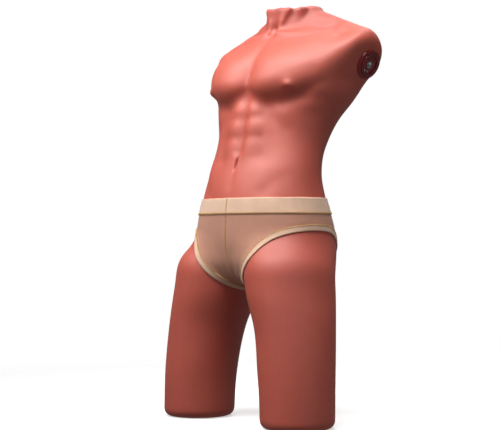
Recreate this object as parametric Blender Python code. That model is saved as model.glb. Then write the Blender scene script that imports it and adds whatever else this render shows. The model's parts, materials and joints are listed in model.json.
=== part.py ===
"""Articulated male torso mannequin in elastic briefs, headless and armless, about 0.90 m tall.

A steel frame with a waist joint and two hip joints carries foam and rubber cores. Soft skins
cover the cores, and a stretchy band of skin bridges each joint. Both shoulders end in a bolted cap.
Metres, +Z up. The front faces -Y, the mannequin's left is +X, and the origin is on the floor.
"""
import math

import bmesh
import bpy
from mathutils import Matrix, Vector
from mathutils.geometry import interpolate_bezier

# ---- driving dimensions ----
HEIGHT = 0.900
SKIN = 0.008                # thickness of every skin
GAP = 0.0003                # clearance between pieces that touch
SQUARENESS = 2.2            # exponent of the torso's superellipse sections
TORSO_SIDES = 26
THIGH_SIDES = 20
ROUND_SIDES = 12
CORE_SIDES = 16
SMALL_SIDES = 8
ROW_STEP = 0.0407           # row spacing of the body sections
ROW_LEAST = 0.002           # least distance between a row and an end
CLOTH_ROWS = (0.300, 0.490)  # closer rows where cloth lies on skin
CLOTH_STEP = 0.019
BORE_PHASE = 0.13           # turns a bore's facets away from those of the piece around it
OVERCUT = 0.02              # how far a cutter runs past what it cuts
BEYOND = 0.5                # half the size of a cutter that is larger than the mannequin

# Torso sections: height, half width, front y, back y.
TORSO = (
    (0.300, 0.150, -0.108, 0.048),
    (0.330, 0.163, -0.135, 0.068),
    (0.370, 0.171, -0.147, 0.078),
    (0.420, 0.168, -0.148, 0.080),
    (0.480, 0.153, -0.141, 0.068),
    (0.530, 0.142, -0.127, 0.062),
    (0.570, 0.137, -0.113, 0.070),
    (0.610, 0.137, -0.103, 0.090),
    (0.650, 0.146, -0.096, 0.115),
    (0.695, 0.166, -0.091, 0.144),
    (0.740, 0.192, -0.084, 0.159),
    (0.780, 0.198, -0.068, 0.161),
    (0.810, 0.183, -0.043, 0.156),
    (0.832, 0.142, -0.017, 0.143),
    (0.852, 0.094, -0.002, 0.129),
    (0.875, 0.066, 0.000, 0.119),
    (HEIGHT, 0.062, 0.001, 0.116),
)
# Thigh sections: height, centre x, centre y, half width, half depth.
THIGH = (
    (0.000, 0.157, -0.086, 0.078, 0.079),
    (0.100, 0.153, -0.083, 0.080, 0.081),
    (0.200, 0.138, -0.074, 0.086, 0.088),
    (0.285, 0.112, -0.062, 0.094, 0.100),
    (0.360, 0.096, -0.053, 0.092, 0.103),
    (0.450, 0.088, -0.046, 0.085, 0.104),
)
THIGH_TOP = 0.449           # where a thigh's loft ends inside the pelvis
THIGH_CUT = 0.150           # where a hip band's loft starts, under its lowest edge
THIGH_TURN = 0.0047         # pushes each thigh section's long axis towards outer back
EDGE_ROUND = 0.012          # rounding round the thigh ends and the neck top

# Seams between the skins.
CROTCH_Z = 0.300
WAIST_LOW = 0.500
WAIST_HIGH = 0.600
LEG_LINE_CROTCH = Vector((0.022, 0.0, 0.286))
LEG_LINE_SIDE = Vector((0.172, 0.0, 0.410))
HIP_BAND = 0.085            # width of the flexible band below the leg line

# Shoulder stumps: a face whose normal points outward and down.
STUMP = Vector((0.196, 0.086, 0.767))
STUMP_TILT = math.radians(24.5)
STUMP_RADIUS = 0.056
STUMP_LOW = 0.700           # below this height the stump faces cut nothing
STUMP_STRAIGHT = 0.020      # length of the stump before it tapers into the chest
STUMP_ROOT = 0.110
STUMP_ROOT_RADIUS = 0.036

# Shoulder fittings.
CAP_RADIUS = 0.033
CAP_PROUD = 0.004
CAP_RIM = 0.003             # rounding of the cap's rim
FLANGE = 0.0055
FLANGE_RADIUS = 0.032
RING_INSIDE = 0.0208
RING_OUTSIDE = 0.0238
RING_TALL = 0.002
RING_BEVEL = 0.001
WASHER_RADIUS = 0.0082
WASHER = 0.001
CAP_BOLT = 0.003
CAP_BOLT_LENGTH = 0.024
CAP_BOLT_HEAD = 0.0055
CAP_BOLT_DOME = 0.003
SCREW = 0.0013
SCREW_BORE = 0.0017
SCREW_HEAD = ((0.0026, 0.0), (0.0024, 0.0010), (0.0014, 0.0016), (0.0, 0.0018))  # radius, height
SCREW_SPOTS = ((0.0140, -0.0090), (0.0155, 0.0010))     # down, back

# Steel frame.
BAR_RADIUS = 0.012
SHOULDER_Z = STUMP.z + 0.0046
SPINE_RADIUS = 0.0125
SPINE_Y = -0.040
SPINE_BEND = 0.085
NECK_POST_RADIUS = 0.011
NECK_POST_BEND = 0.03
NECK_POST_TOP = Vector((0.0, 0.062, 0.865))
WAIST_Z = 0.550
CLEVIS_LOW = 0.035          # from the waist axis down to the lower spine
TONGUE_HIGH = 0.040         # from the waist axis up to the upper spine
WAIST_EYE = 0.014
HIP = Vector((0.100, -0.053, 0.345))
HIP_BAR = Vector((0.0, -0.048, 0.388))
HIP_BAR_HALF = Vector((0.0837, 0.016, 0.010))
HIP_EYE = 0.0135
KNEE_DROP = 0.030           # from the hip axis down to the thigh rod
ROD_RADIUS = 0.010
PLATE = 0.005
PLATE_RADIUS = 0.045
FOOT = Vector((0.152, -0.086, 0.0160))
JOINT_BOLT = 0.004
JOINT_BOLT_HEAD = 0.0075
CORE_PLAY = 0.0006          # clearance between a core and the steel in it
CORE_GAP = 0.0016           # clearance between a core and the skin over it

# Briefs.
WAISTBAND_LOW = 0.444
WAISTBAND_HIGH = 0.479
CLOTH_GAP = 0.0004
PANEL_OUT = 0.0014
BAND_OUT = 0.0028
LEG_BAND_WIDTH = 0.0135
GUSSET_HALF = 0.030

COLOURS = {
    "skin": ((0.62, 0.22, 0.15), 0.42, 0.0),
    "foam": ((0.85, 0.80, 0.62), 0.95, 0.0),
    "gel": ((0.60, 0.30, 0.24), 0.60, 0.0),
    "steel": ((0.60, 0.60, 0.62), 0.30, 1.0),
    "cap": ((0.20, 0.012, 0.014), 0.16, 0.0),
    "elastic": ((0.66, 0.46, 0.32), 0.85, 0.0),
    "knit": ((0.55, 0.28, 0.20), 0.80, 0.0),
}


def clear_scene():
    """Remove every object that the file opened with."""
    for item in list(bpy.data.objects):
        bpy.data.objects.remove(item, do_unlink=True)


def material(name):
    """One Principled material from the colour table."""
    made = bpy.data.materials.get(name)
    if made is None:
        colour, roughness, metallic = COLOURS[name]
        made = bpy.data.materials.new(name)
        made.use_nodes = True
        shader = made.node_tree.nodes["Principled BSDF"]
        shader.inputs["Base Color"].default_value = (*colour, 1.0)
        shader.inputs["Roughness"].default_value = roughness
        shader.inputs["Metallic"].default_value = metallic
    return made


# ---- mesh helpers ----
def add_object(name, mesh, finish, place=None):
    """Link a mesh as an object with its material, smooth shading and placement."""
    item = bpy.data.objects.new(name, mesh)
    bpy.context.scene.collection.objects.link(item)
    mesh.materials.append(material(finish))
    mesh.shade_smooth()
    mesh.set_sharp_from_angle(angle=math.radians(35))
    if place is not None:
        item.matrix_world = place
    return item


def mesh_from(name, build):
    """Run a bmesh builder and return a closed mesh whose faces point out."""
    work = bmesh.new()
    build(work)
    bmesh.ops.recalc_face_normals(work, faces=work.faces)
    mesh = bpy.data.meshes.new(name)
    work.to_mesh(mesh)
    work.free()
    return mesh


def stack_rings(name, rings, finish, place=None):
    """A closed solid through rings of equal length, with flat ends."""
    def build(work):
        rows = [[work.verts.new(point) for point in ring] for ring in rings]
        count = len(rows[0])
        for low, high in zip(rows, rows[1:]):
            for k in range(count):
                after = (k + 1) % count
                work.faces.new((low[k], low[after], high[after], high[k]))
        work.faces.new(rows[0])
        work.faces.new(rows[-1])
    return add_object(name, mesh_from(name, build), finish, place)


def box(name, low, high, finish, place=None):
    """A box between two corners."""
    rings = [[(low[0], low[1], z), (high[0], low[1], z), (high[0], high[1], z), (low[0], high[1], z)]
             for z in (low[2], high[2])]
    return stack_rings(name, rings, finish, place)


def prism_along_y(name, outline):
    """A construction prism from an outline of (x, z) points, longer than the mannequin is deep."""
    rings = [[(x, y, z) for x, z in outline] for y in (-BEYOND, BEYOND)]
    return stack_rings(name, rings, "skin")


def turned(name, profile, finish, place=None, sides=ROUND_SIDES, phase=0.0):
    """A solid turned about local Z from (radius, height) points that start and end on the axis."""
    def build(work):
        low = work.verts.new((0.0, 0.0, profile[0][1]))
        high = work.verts.new((0.0, 0.0, profile[-1][1]))
        rows = []
        for radius, height in profile[1:-1]:
            turns = (phase + 2 * math.pi * k / sides for k in range(sides))
            rows.append([work.verts.new((radius * math.cos(t), radius * math.sin(t), height)) for t in turns])
        for k in range(sides):
            after = (k + 1) % sides
            work.faces.new((low, rows[0][after], rows[0][k]))
            work.faces.new((high, rows[-1][k], rows[-1][after]))
            for lower, upper in zip(rows, rows[1:]):
                work.faces.new((lower[k], lower[after], upper[after], upper[k]))
    return add_object(name, mesh_from(name, build), finish, place)


def plug(radius, low, high=OVERCUT):
    """Profile of a plain cylinder between two heights."""
    return ((0, low), (radius, low), (radius, high), (0, high))


def rod(name, start, end, radius, finish, sides=ROUND_SIDES, phase=0.0):
    """A round rod between two points."""
    start, end = Vector(start), Vector(end)
    along = end - start
    place = Matrix.Translation(start) @ along.to_track_quat("Z", "Y").to_matrix().to_4x4()
    return turned(name, plug(radius, 0, along.length), finish, place, sides, phase)


def bent_bar(name, start, end, reach, radius, finish, run_out=(0.0, 0.0), sides=12, steps=10):
    """A solid round bar in the YZ plane that leaves and arrives vertically, along one Bezier curve.

    A run-out lengthens an end in a straight line.
    """
    start, end = Vector(start), Vector(end)
    up = Vector((0, 0, reach))
    spots = interpolate_bezier(start, start + up, end - up, end, steps)
    spots[0] = start - Vector((0, 0, run_out[0]))
    spots[-1] = end + Vector((0, 0, run_out[1]))
    if run_out[0]:
        spots.insert(1, start)
    rings = []
    for k, spot in enumerate(spots):
        along = spots[min(k + 1, len(spots) - 1)] - spots[max(k - 1, 0)]
        if k == 0 or k == len(spots) - 1 or spot == start:
            along = up
        across = Vector((1, 0, 0))
        other = along.normalized().cross(across)
        turns = (2 * math.pi * j / sides for j in range(sides))
        rings.append([spot + radius * (math.cos(t) * across + math.sin(t) * other) for t in turns])
    return stack_rings(name, rings, finish)


def as_cutter(item):
    """Mark an object as a construction shape that is not part of the mannequin."""
    item.hide_render = True
    item.display_type = "WIRE"
    return item


def combine(item, cutter, operation):
    """Add one exact Boolean."""
    step = item.modifiers.new(operation.title(), "BOOLEAN")
    step.operation = operation
    step.solver = "EXACT"
    step.object = cutter
    return item


def cut(item, *cutters):
    """Take construction shapes away from an object."""
    for cutter in cutters:
        combine(item, as_cutter(cutter), "DIFFERENCE")
    return item


def keep(item, cutter):
    """Keep only what lies inside a construction shape."""
    return combine(item, as_cutter(cutter), "INTERSECT")


def join(item, *others):
    """Fuse construction shapes into an object."""
    for other in others:
        combine(item, as_cutter(other), "UNION")
    return item


# ---- body sections ----
def section_at(table, z):
    """Values of a section table at a height, on a smooth curve through its rows."""
    last = len(table) - 1
    k = max(i for i in range(last) if table[i][0] <= z or i == 0)
    rows = [table[max(k - 1, 0)], table[k], table[k + 1], table[min(k + 2, last)]]
    span = rows[2][0] - rows[1][0]
    s = (z - rows[1][0]) / span
    values = []
    for column in range(1, len(table[0])):
        before, low, high, beyond = (row[column] for row in rows)
        slope_low = (high - before) / (rows[2][0] - rows[0][0]) * span
        slope_high = (beyond - low) / (rows[3][0] - rows[1][0]) * span
        values.append((2 * s**3 - 3 * s**2 + 1) * low + (s**3 - 2 * s**2 + s) * slope_low
                      + (3 * s**2 - 2 * s**3) * high + (s**3 - s**2) * slope_high)
    return values


def heights(low, high, fine_low=False, fine_high=False):
    """Row heights between two levels: a shared ladder, finer under the briefs and at rounded ends."""
    ladder = [k * ROW_STEP for k in range(round(HEIGHT / ROW_STEP) + 1)]
    ladder = [z for z in ladder if not CLOTH_ROWS[0] < z < CLOTH_ROWS[1]]
    ladder += [CLOTH_ROWS[0] + k * CLOTH_STEP
               for k in range(round((CLOTH_ROWS[1] - CLOTH_ROWS[0]) / CLOTH_STEP) + 1)]
    rows = {low, high} | {z for z in ladder if low + ROW_LEAST < z < high - ROW_LEAST}
    steps = [EDGE_ROUND * (1 - math.cos(math.radians(angle))) for angle in (35, 65)]
    if fine_low:
        rows |= {low + step for step in steps}
    if fine_high:
        rows |= {high - step for step in steps}
    return sorted(rows)


def edge_inset(distance):
    """How far a rounded edge draws in at a distance from its end."""
    short = min(max(EDGE_ROUND - distance, 0.0), EDGE_ROUND)
    return EDGE_ROUND - math.sqrt(EDGE_ROUND**2 - short**2)


def torso_loft(name, low, high, inset, finish="skin", sides=TORSO_SIDES):
    """A closed torso solid between two heights, drawn in by an inset."""
    top = HEIGHT - inset
    closes = high >= top
    high = min(high, top)
    rings = []
    for z in heights(low, high, fine_high=closes):
        half, front, back = section_at(TORSO, z)
        shrink = inset + (edge_inset(high - z) if closes else 0.0)
        depth = (back - front) / 2 - shrink
        ring = []
        for k in range(sides):
            turn = 2 * math.pi * k / sides
            across = math.copysign(abs(math.cos(turn)) ** (2 / SQUARENESS), math.cos(turn))
            along = math.copysign(abs(math.sin(turn)) ** (2 / SQUARENESS), math.sin(turn))
            ring.append(((half - shrink) * across, (front + back) / 2 + depth * along, z))
        rings.append(ring)
    return stack_rings(name, rings, finish)


def thigh_loft(name, side, low, high, inset, finish="skin", sides=THIGH_SIDES):
    """A closed thigh solid between two heights, rounded where it reaches the floor end."""
    floor = low < 2 * EDGE_ROUND
    rings = []
    for z in heights(low, high, fine_low=floor):
        centre_x, centre_y, half, depth = section_at(THIGH, z)
        shrink = inset + (edge_inset(z - low) if floor else 0.0)
        ring = []
        for k in range(sides):
            turn = 2 * math.pi * k / sides
            across, along = math.cos(turn), math.sin(turn)
            x = centre_x + (half - shrink) * across + THIGH_TURN * along
            y = centre_y + (depth - shrink) * along + THIGH_TURN * across
            ring.append((side * x, y, z))
        rings.append(ring)
    return stack_rings(name, rings, finish)


# ---- seam planes ----
LEG_RUN = LEG_LINE_SIDE - LEG_LINE_CROTCH
LEG_SLOPE = LEG_RUN.z / LEG_RUN.x
LEG_COS = LEG_RUN.x / LEG_RUN.length


def leg_line_height(x, below):
    """Height of the plane that lies a distance below the leg line, at a place across the body."""
    return LEG_LINE_CROTCH.z + LEG_SLOPE * (abs(x) - LEG_LINE_CROTCH.x) - below / LEG_COS


def above_leg_lines(name, below):
    """Everything above both leg planes."""
    side = leg_line_height(BEYOND, below)
    outline = [(-BEYOND, side), (0.0, leg_line_height(0.0, below)), (BEYOND, side),
               (BEYOND, HEIGHT), (-BEYOND, HEIGHT)]
    return prism_along_y(name, outline)


def leg_slab(name, side, upper, lower, middle=GAP):
    """The slab between two planes below one leg line, on one side of the body."""
    outline = [(side * x, leg_line_height(x, below))
               for x, below in ((middle, upper), (BEYOND, upper), (BEYOND, lower), (middle, lower))]
    return prism_along_y(name, outline)


def past_stumps(name, inset):
    """The two wedges beyond the shoulder stump faces."""
    slope = math.tan(STUMP_TILT)
    inside = inset / math.cos(STUMP_TILT)
    wedges = []
    for side in (-1, 1):
        outline = [(side * (STUMP.x - inside + (z - STUMP.z) * slope), z) for z in (STUMP_LOW, HEIGHT + OVERCUT)]
        outline += [(side * BEYOND, HEIGHT + OVERCUT), (side * BEYOND, STUMP_LOW)]
        wedges.append(prism_along_y(f"{name}_{side}", outline))
    return wedges


def stump_frame(side):
    """Axes of a shoulder stump: X down the face, Y towards the back, Z outward."""
    outward = Vector((side * math.cos(STUMP_TILT), 0, -math.sin(STUMP_TILT)))
    down = Vector((-side * math.sin(STUMP_TILT), 0, -math.cos(STUMP_TILT)))
    back = outward.cross(down)
    turn = Matrix((down, back, outward)).transposed().to_4x4()
    return Matrix.Translation((side * STUMP.x, STUMP.y, STUMP.z)) @ turn


def chest_solid(name, low, inset, finish="skin", sides=TORSO_SIDES):
    """Chest, shoulders and neck as one closed solid, with flat shoulder faces."""
    chest = torso_loft(name, low, HEIGHT, inset, finish, sides)
    for side in (-1, 1):
        lobe_profile = ((0, -STUMP_ROOT), (STUMP_ROOT_RADIUS - inset, -STUMP_ROOT),
                        (STUMP_RADIUS - inset, -STUMP_STRAIGHT), (STUMP_RADIUS - inset, OVERCUT), (0, OVERCUT))
        lobe = turned(f"{name}_lobe_{side}", lobe_profile, finish, stump_frame(side), sides)
        join(chest, lobe)
    return cut(chest, *past_stumps(f"{name}_wedge", inset))


# ---- steel pieces that the cores are cut for ----
def upper_spine(name, play=0.0):
    """The bent bar from the waist joint up to the shoulder bar."""
    low = (0.0, SPINE_Y, WAIST_Z + TONGUE_HIGH + GAP)
    high = (0.0, STUMP.y, SHOULDER_Z - BAR_RADIUS - GAP)
    run_out = (OVERCUT if play else 0.0, 0.0)
    return bent_bar(name, low, high, SPINE_BEND, SPINE_RADIUS + play, "steel", run_out)


def neck_post(name, play=0.0):
    """The bent bar from the shoulder bar up into the neck."""
    low = (0.0, STUMP.y, SHOULDER_Z + BAR_RADIUS + GAP)
    return bent_bar(name, low, NECK_POST_TOP, NECK_POST_BEND, NECK_POST_RADIUS + play, "steel", (0.0, play))


def build_chest():
    """Chest skin and core, shoulder bar, spine, neck post and both shoulder fittings."""
    cavity = chest_solid("chest_cavity", WAIST_HIGH - OVERCUT, SKIN)
    skin = cut(chest_solid("chest_skin", WAIST_HIGH, 0.0), cavity)
    core = chest_solid("chest_core", WAIST_HIGH, SKIN + CORE_GAP, "foam", CORE_SIDES)

    bar_end = Vector((STUMP.x + OVERCUT, 0, 0))
    middle = Vector((0, STUMP.y, SHOULDER_Z))
    bar = rod("shoulder_bar", middle - bar_end, middle + bar_end, BAR_RADIUS, "steel")
    cut(bar, *past_stumps("bar_wedge", SKIN + FLANGE + 3 * GAP))
    cut(core, rod("bar_channel", middle - 1.2 * bar_end, middle + 1.2 * bar_end, BAR_RADIUS + CORE_PLAY, "foam"))
    upper_spine("upper_spine")
    neck_post("neck_post")
    cut(core, upper_spine("spine_channel", CORE_PLAY), neck_post("neck_channel", CORE_PLAY))
    for side, word in ((1, "left"), (-1, "right")):
        build_shoulder(side, word, skin, core, bar)


def build_shoulder(side, word, skin, core, bar):
    """Flange, cap, ring, washer, bolt and two screws of one shoulder."""
    frame = stump_frame(side)
    flange_top = -SKIN - GAP
    flange_low = flange_top - FLANGE

    def bored(name, items, radius, place, sides=ROUND_SIDES):
        """Bore one round hole through several pieces."""
        for number, item in enumerate(items):
            cut(item, turned(f"{name}_{number}", plug(radius, -CAP_BOLT_LENGTH - GAP), "steel", place, sides,
                             BORE_PHASE))

    pocket = plug(CAP_RADIUS + CORE_PLAY, flange_low - CORE_PLAY)
    cut(skin, turned(f"{word}_skin_hole", pocket, "skin", frame))
    cut(core, turned(f"{word}_core_pocket", pocket, "foam", frame))

    flange = turned(f"{word}_shoulder_flange", plug(FLANGE_RADIUS, flange_low, flange_top), "steel", frame)
    turns = [math.radians(angle) for angle in (0, 30, 60, 90)]
    rim = [(CAP_RADIUS - CAP_RIM + CAP_RIM * math.cos(t), CAP_PROUD - CAP_RIM + CAP_RIM * math.sin(t))
           for t in turns]
    cap = turned(f"{word}_shoulder_cap", [(0, -SKIN), (CAP_RADIUS, -SKIN), *rim, (0, CAP_PROUD)], "cap", frame)

    top = CAP_PROUD + GAP
    ring_top = top + RING_TALL
    ring = turned(f"{word}_shoulder_ring",
                  ((0, top), (RING_OUTSIDE, top), (RING_OUTSIDE, ring_top - 0.8 * RING_BEVEL),
                   (RING_OUTSIDE - RING_BEVEL, ring_top), (0, ring_top)), "cap", frame)
    cut(ring, turned(f"{word}_ring_hole", plug(RING_INSIDE, 0), "cap", frame))
    washer = turned(f"{word}_shoulder_washer", plug(WASHER_RADIUS, top, top + WASHER), "steel", frame)

    seat = top + WASHER + GAP
    edge = seat + 0.4 * CAP_BOLT_DOME
    dome = [(CAP_BOLT_HEAD * math.cos(t), edge + CAP_BOLT_DOME * math.sin(t)) for t in turns[:-1]]
    turned(f"{word}_shoulder_bolt",
           [(0, -CAP_BOLT_LENGTH), (CAP_BOLT, -CAP_BOLT_LENGTH), (CAP_BOLT, seat), (CAP_BOLT_HEAD, seat),
            *dome, (0, edge + CAP_BOLT_DOME)], "steel", frame)
    bored(f"{word}_bolt_bore", (cap, flange, washer, bar), CAP_BOLT + 2 * GAP, frame)
    for number, (down, back) in enumerate(SCREW_SPOTS, start=1):
        spot = frame @ Matrix.Translation((down, side * back, 0))
        low = flange_low + SCREW
        head = [(radius, top + height) for radius, height in SCREW_HEAD]
        turned(f"{word}_shoulder_screw_{number}", [(0, low), (SCREW, low), (SCREW, top), *head], "steel", spot,
               SMALL_SIDES)
        bored(f"{word}_screw_bore_{number}", (cap, flange), SCREW_BORE, spot, SMALL_SIDES)


def build_waist():
    """Waist band of skin, and the waist joint: clevis, tongue, bolt and nut."""
    band = torso_loft("waist_flex_band", WAIST_LOW + GAP, WAIST_HIGH - GAP, 0.0)
    cut(band, torso_loft("waist_cavity", WAIST_LOW - OVERCUT, WAIST_HIGH + OVERCUT, SKIN))

    centre = Vector((0.0, SPINE_Y, WAIST_Z))
    half, tongue_half = 0.020, 0.0100
    eye = Vector((tongue_half + 2 * GAP, 0, 0))
    slot_half = eye.x + GAP
    clevis = box("waist_clevis", centre - Vector((half, 0.016, CLEVIS_LOW)), centre + Vector((half, 0.016, 0.018)),
                 "steel")
    cut(clevis, box("waist_slot", centre - Vector((slot_half, OVERCUT, 0.020)),
                    centre + Vector((slot_half, OVERCUT, 0.030)), "steel"))
    tongue = box("waist_tongue", centre - Vector((tongue_half, 0.012, 0)),
                 centre + Vector((tongue_half, 0.012, TONGUE_HIGH)), "steel")
    join(tongue, rod("waist_eye", centre - eye, centre + eye, WAIST_EYE, "steel"))
    joint_bolt("waist", centre, 1, half, (clevis, tongue))


def joint_bolt(word, centre, side, half, bored):
    """A bolt through a joint along X, its nut, and its hole in the pieces that it holds."""
    axis = Vector((side, 0, 0))
    head, nut_tall, past = 0.005, 0.006, 0.007
    bolt = rod(f"{word}_bolt", centre + axis * (half + GAP), centre + axis * (half + head), JOINT_BOLT_HEAD,
               "steel")
    join(bolt, rod(f"{word}_shank", centre - axis * (half + past), centre + axis * (half + head / 2),
                   JOINT_BOLT, "steel"))
    nut = rod(f"{word}_nut", centre - axis * (half + GAP), centre - axis * (half + nut_tall), JOINT_BOLT_HEAD,
              "steel", 6)
    through = axis * (half + past + OVERCUT)
    for number, item in enumerate((*bored, nut)):
        cut(item, rod(f"{word}_bore_{number}", centre - through, centre + through, JOINT_BOLT + 2 * GAP, "steel",
                      phase=BORE_PHASE))


def build_pelvis():
    """Pelvis skin and core, the hip bar and the lower spine."""
    skin = torso_loft("pelvis_skin", CROTCH_Z, WAIST_LOW, 0.0)
    keep(skin, above_leg_lines("skin_limits", 0.0))
    cut(skin, torso_loft("pelvis_hollow", CROTCH_Z + SKIN, WAIST_LOW + OVERCUT, SKIN))
    core = torso_loft("pelvis_core", CROTCH_Z + SKIN + GAP, WAIST_LOW, SKIN + CORE_GAP, "foam", CORE_SIDES)
    keep(core, above_leg_lines("core_limits", 0.0))

    box("pelvis_bar", HIP_BAR - HIP_BAR_HALF, HIP_BAR + HIP_BAR_HALF, "steel")
    play = Vector((0.006, CORE_PLAY, CORE_PLAY))
    slots = box("bar_slot", HIP_BAR - HIP_BAR_HALF - play, HIP_BAR + HIP_BAR_HALF + play, "foam")
    spine_low = HIP_BAR.z + HIP_BAR_HALF.z + GAP
    rod("lower_spine", (0, SPINE_Y, spine_low), (0, SPINE_Y, WAIST_Z - CLEVIS_LOW - GAP), SPINE_RADIUS, "steel")
    join(slots, rod("spine_slot", (0, SPINE_Y, HIP_BAR.z), (0, SPINE_Y, WAIST_LOW + OVERCUT),
                    SPINE_RADIUS + CORE_PLAY, "foam"))
    for side, word in ((1, "left"), (-1, "right")):
        build_hip(side, word, slots)
        build_thigh(side, word)
    cut(core, slots)


def build_hip(side, word, slots):
    """Hip bracket with its bolt and nut, the swinging thigh rod, and the band of skin round them."""
    centre = Vector((side * HIP.x, HIP.y, HIP.z))
    half, tongue_half, eye = 0.0160, 0.0068, Vector((0.0072, 0, 0))
    slot_half = eye.x + GAP
    bracket = box(f"{word}_hip_bracket", centre - Vector((half, 0.015, 0.021)), centre + Vector((half, 0.015, 0.055)),
                  "steel")
    cut(bracket, box(f"{word}_hip_slot", centre - Vector((slot_half, OVERCUT, 0.050)),
                     centre + Vector((slot_half, OVERCUT, KNEE_DROP)), "steel"))
    foot, knee = rod_ends(side)
    thigh_rod = rod(f"{word}_thigh_rod", foot, knee, ROD_RADIUS, "steel", phase=2 * BORE_PHASE)
    join(thigh_rod,
         box(f"{word}_rod_tongue", centre - Vector((tongue_half, 0.009, 0.040)),
             centre + Vector((tongue_half, 0.009, 0)), "steel"),
         rod(f"{word}_rod_eye", centre - eye, centre + eye, HIP_EYE, "steel"))
    joint_bolt(f"{word}_hip", centre, side, half, (bracket, thigh_rod))
    pocket = Vector((half + 0.0078, 0.0226, 0.0556))
    join(slots, box(f"{word}_hip_pocket", centre - pocket, centre + pocket, "foam"))

    band = thigh_loft(f"{word}_hip_flex_band", side, THIGH_CUT, THIGH_TOP, 0.0)
    keep(band, leg_slab(f"{word}_band_limits", side, GAP, HIP_BAND - GAP, 2 * GAP))
    cut(band, thigh_loft(f"{word}_band_cavity", side, THIGH_CUT - ROW_LEAST, THIGH_TOP + GAP, SKIN))


def rod_ends(side):
    """The ends of a thigh's slanting rod: over its end plate, and under its hip joint."""
    foot = Vector((side * FOOT.x, FOOT.y, FOOT.z))
    knee = Vector((side * HIP.x, HIP.y, HIP.z - KNEE_DROP))
    return foot, knee


def build_thigh(side, word):
    """Thigh skin, solid rubber core and the steel end plate."""
    skin = thigh_loft(f"{word}_thigh_skin", side, 0.0, THIGH_TOP, 0.0)
    keep(skin, leg_slab(f"{word}_skin_limits", side, HIP_BAND, HEIGHT, 3 * GAP))
    cut(skin, thigh_loft(f"{word}_thigh_cavity", side, SKIN, THIGH_TOP + GAP, SKIN))
    core = thigh_loft(f"{word}_thigh_core", side, SKIN + PLATE + 2 * GAP, THIGH_TOP, SKIN + CORE_GAP, "gel",
                      CORE_SIDES)
    keep(core, leg_slab(f"{word}_core_limits", side, HIP_BAND, HEIGHT, 3 * GAP))
    foot, knee = rod_ends(side)
    run_out = (knee - foot) * 0.1
    cut(core, rod(f"{word}_rod_channel", foot - run_out, knee + run_out, ROD_RADIUS + CORE_PLAY, "gel"))
    turned(f"{word}_thigh_end_plate", plug(PLATE_RADIUS, 0, PLATE), "steel",
           Matrix.Translation((side * FOOT.x, FOOT.y, SKIN + GAP)))


def build_briefs():
    """Waistband, sheer panel, both leg bands and the gusset."""
    cloth_low, cloth_high = CROTCH_Z + 0.001, WAISTBAND_LOW - GAP
    band = torso_loft("waistband", WAISTBAND_LOW, WAISTBAND_HIGH, -BAND_OUT, "elastic")
    cut(band, torso_loft("waistband_inside", WAISTBAND_LOW - OVERCUT, WAISTBAND_HIGH + OVERCUT, -CLOTH_GAP))
    panel = torso_loft("brief_panel", cloth_low, cloth_high, -PANEL_OUT, "knit")
    keep(panel, above_leg_lines("panel_limits", -LEG_BAND_WIDTH - GAP))
    cut(panel, torso_loft("panel_inside", CROTCH_Z + GAP, WAISTBAND_LOW + OVERCUT, -CLOTH_GAP))
    for side, word in ((1, "left"), (-1, "right")):
        leg_band = torso_loft(f"{word}_leg_band", cloth_low, cloth_high, -BAND_OUT, "elastic")
        keep(leg_band, leg_slab(f"{word}_leg_limits", side, -LEG_BAND_WIDTH, 0.0))
        cut(leg_band, torso_loft(f"{word}_leg_inside", CROTCH_Z - OVERCUT, WAISTBAND_LOW + OVERCUT, -CLOTH_GAP))
    _, front, back = section_at(TORSO, CROTCH_Z)
    box("crotch_gusset", (-GUSSET_HALF, front + 0.005, CROTCH_Z - 0.0020),
        (GUSSET_HALF, back - 0.004, CROTCH_Z - GAP), "knit")


def build():
    """Make the whole mannequin."""
    clear_scene()
    build_chest()
    build_waist()
    build_pelvis()
    build_briefs()


build()
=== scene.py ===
"""Skin, briefs and shoulder fittings of a jointed male torso mannequin, built round its loaded frame.

The skin is one smooth shape: torso sections, shoulder lobes and two thighs flow into each other, and
muscles, creases and ridges raise or lower it. The briefs are offset from the same shape.
Metres, +Z up, front towards -Y, the mannequin's left towards +X.
"""
import json
import math
from contextlib import contextmanager

import bmesh
import bpy
import numpy as np
from bpy.props import FloatProperty, FloatVectorProperty, IntProperty, PointerProperty
from bpy.types import Operator, Panel, PropertyGroup
from mathutils import Matrix, Vector


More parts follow.
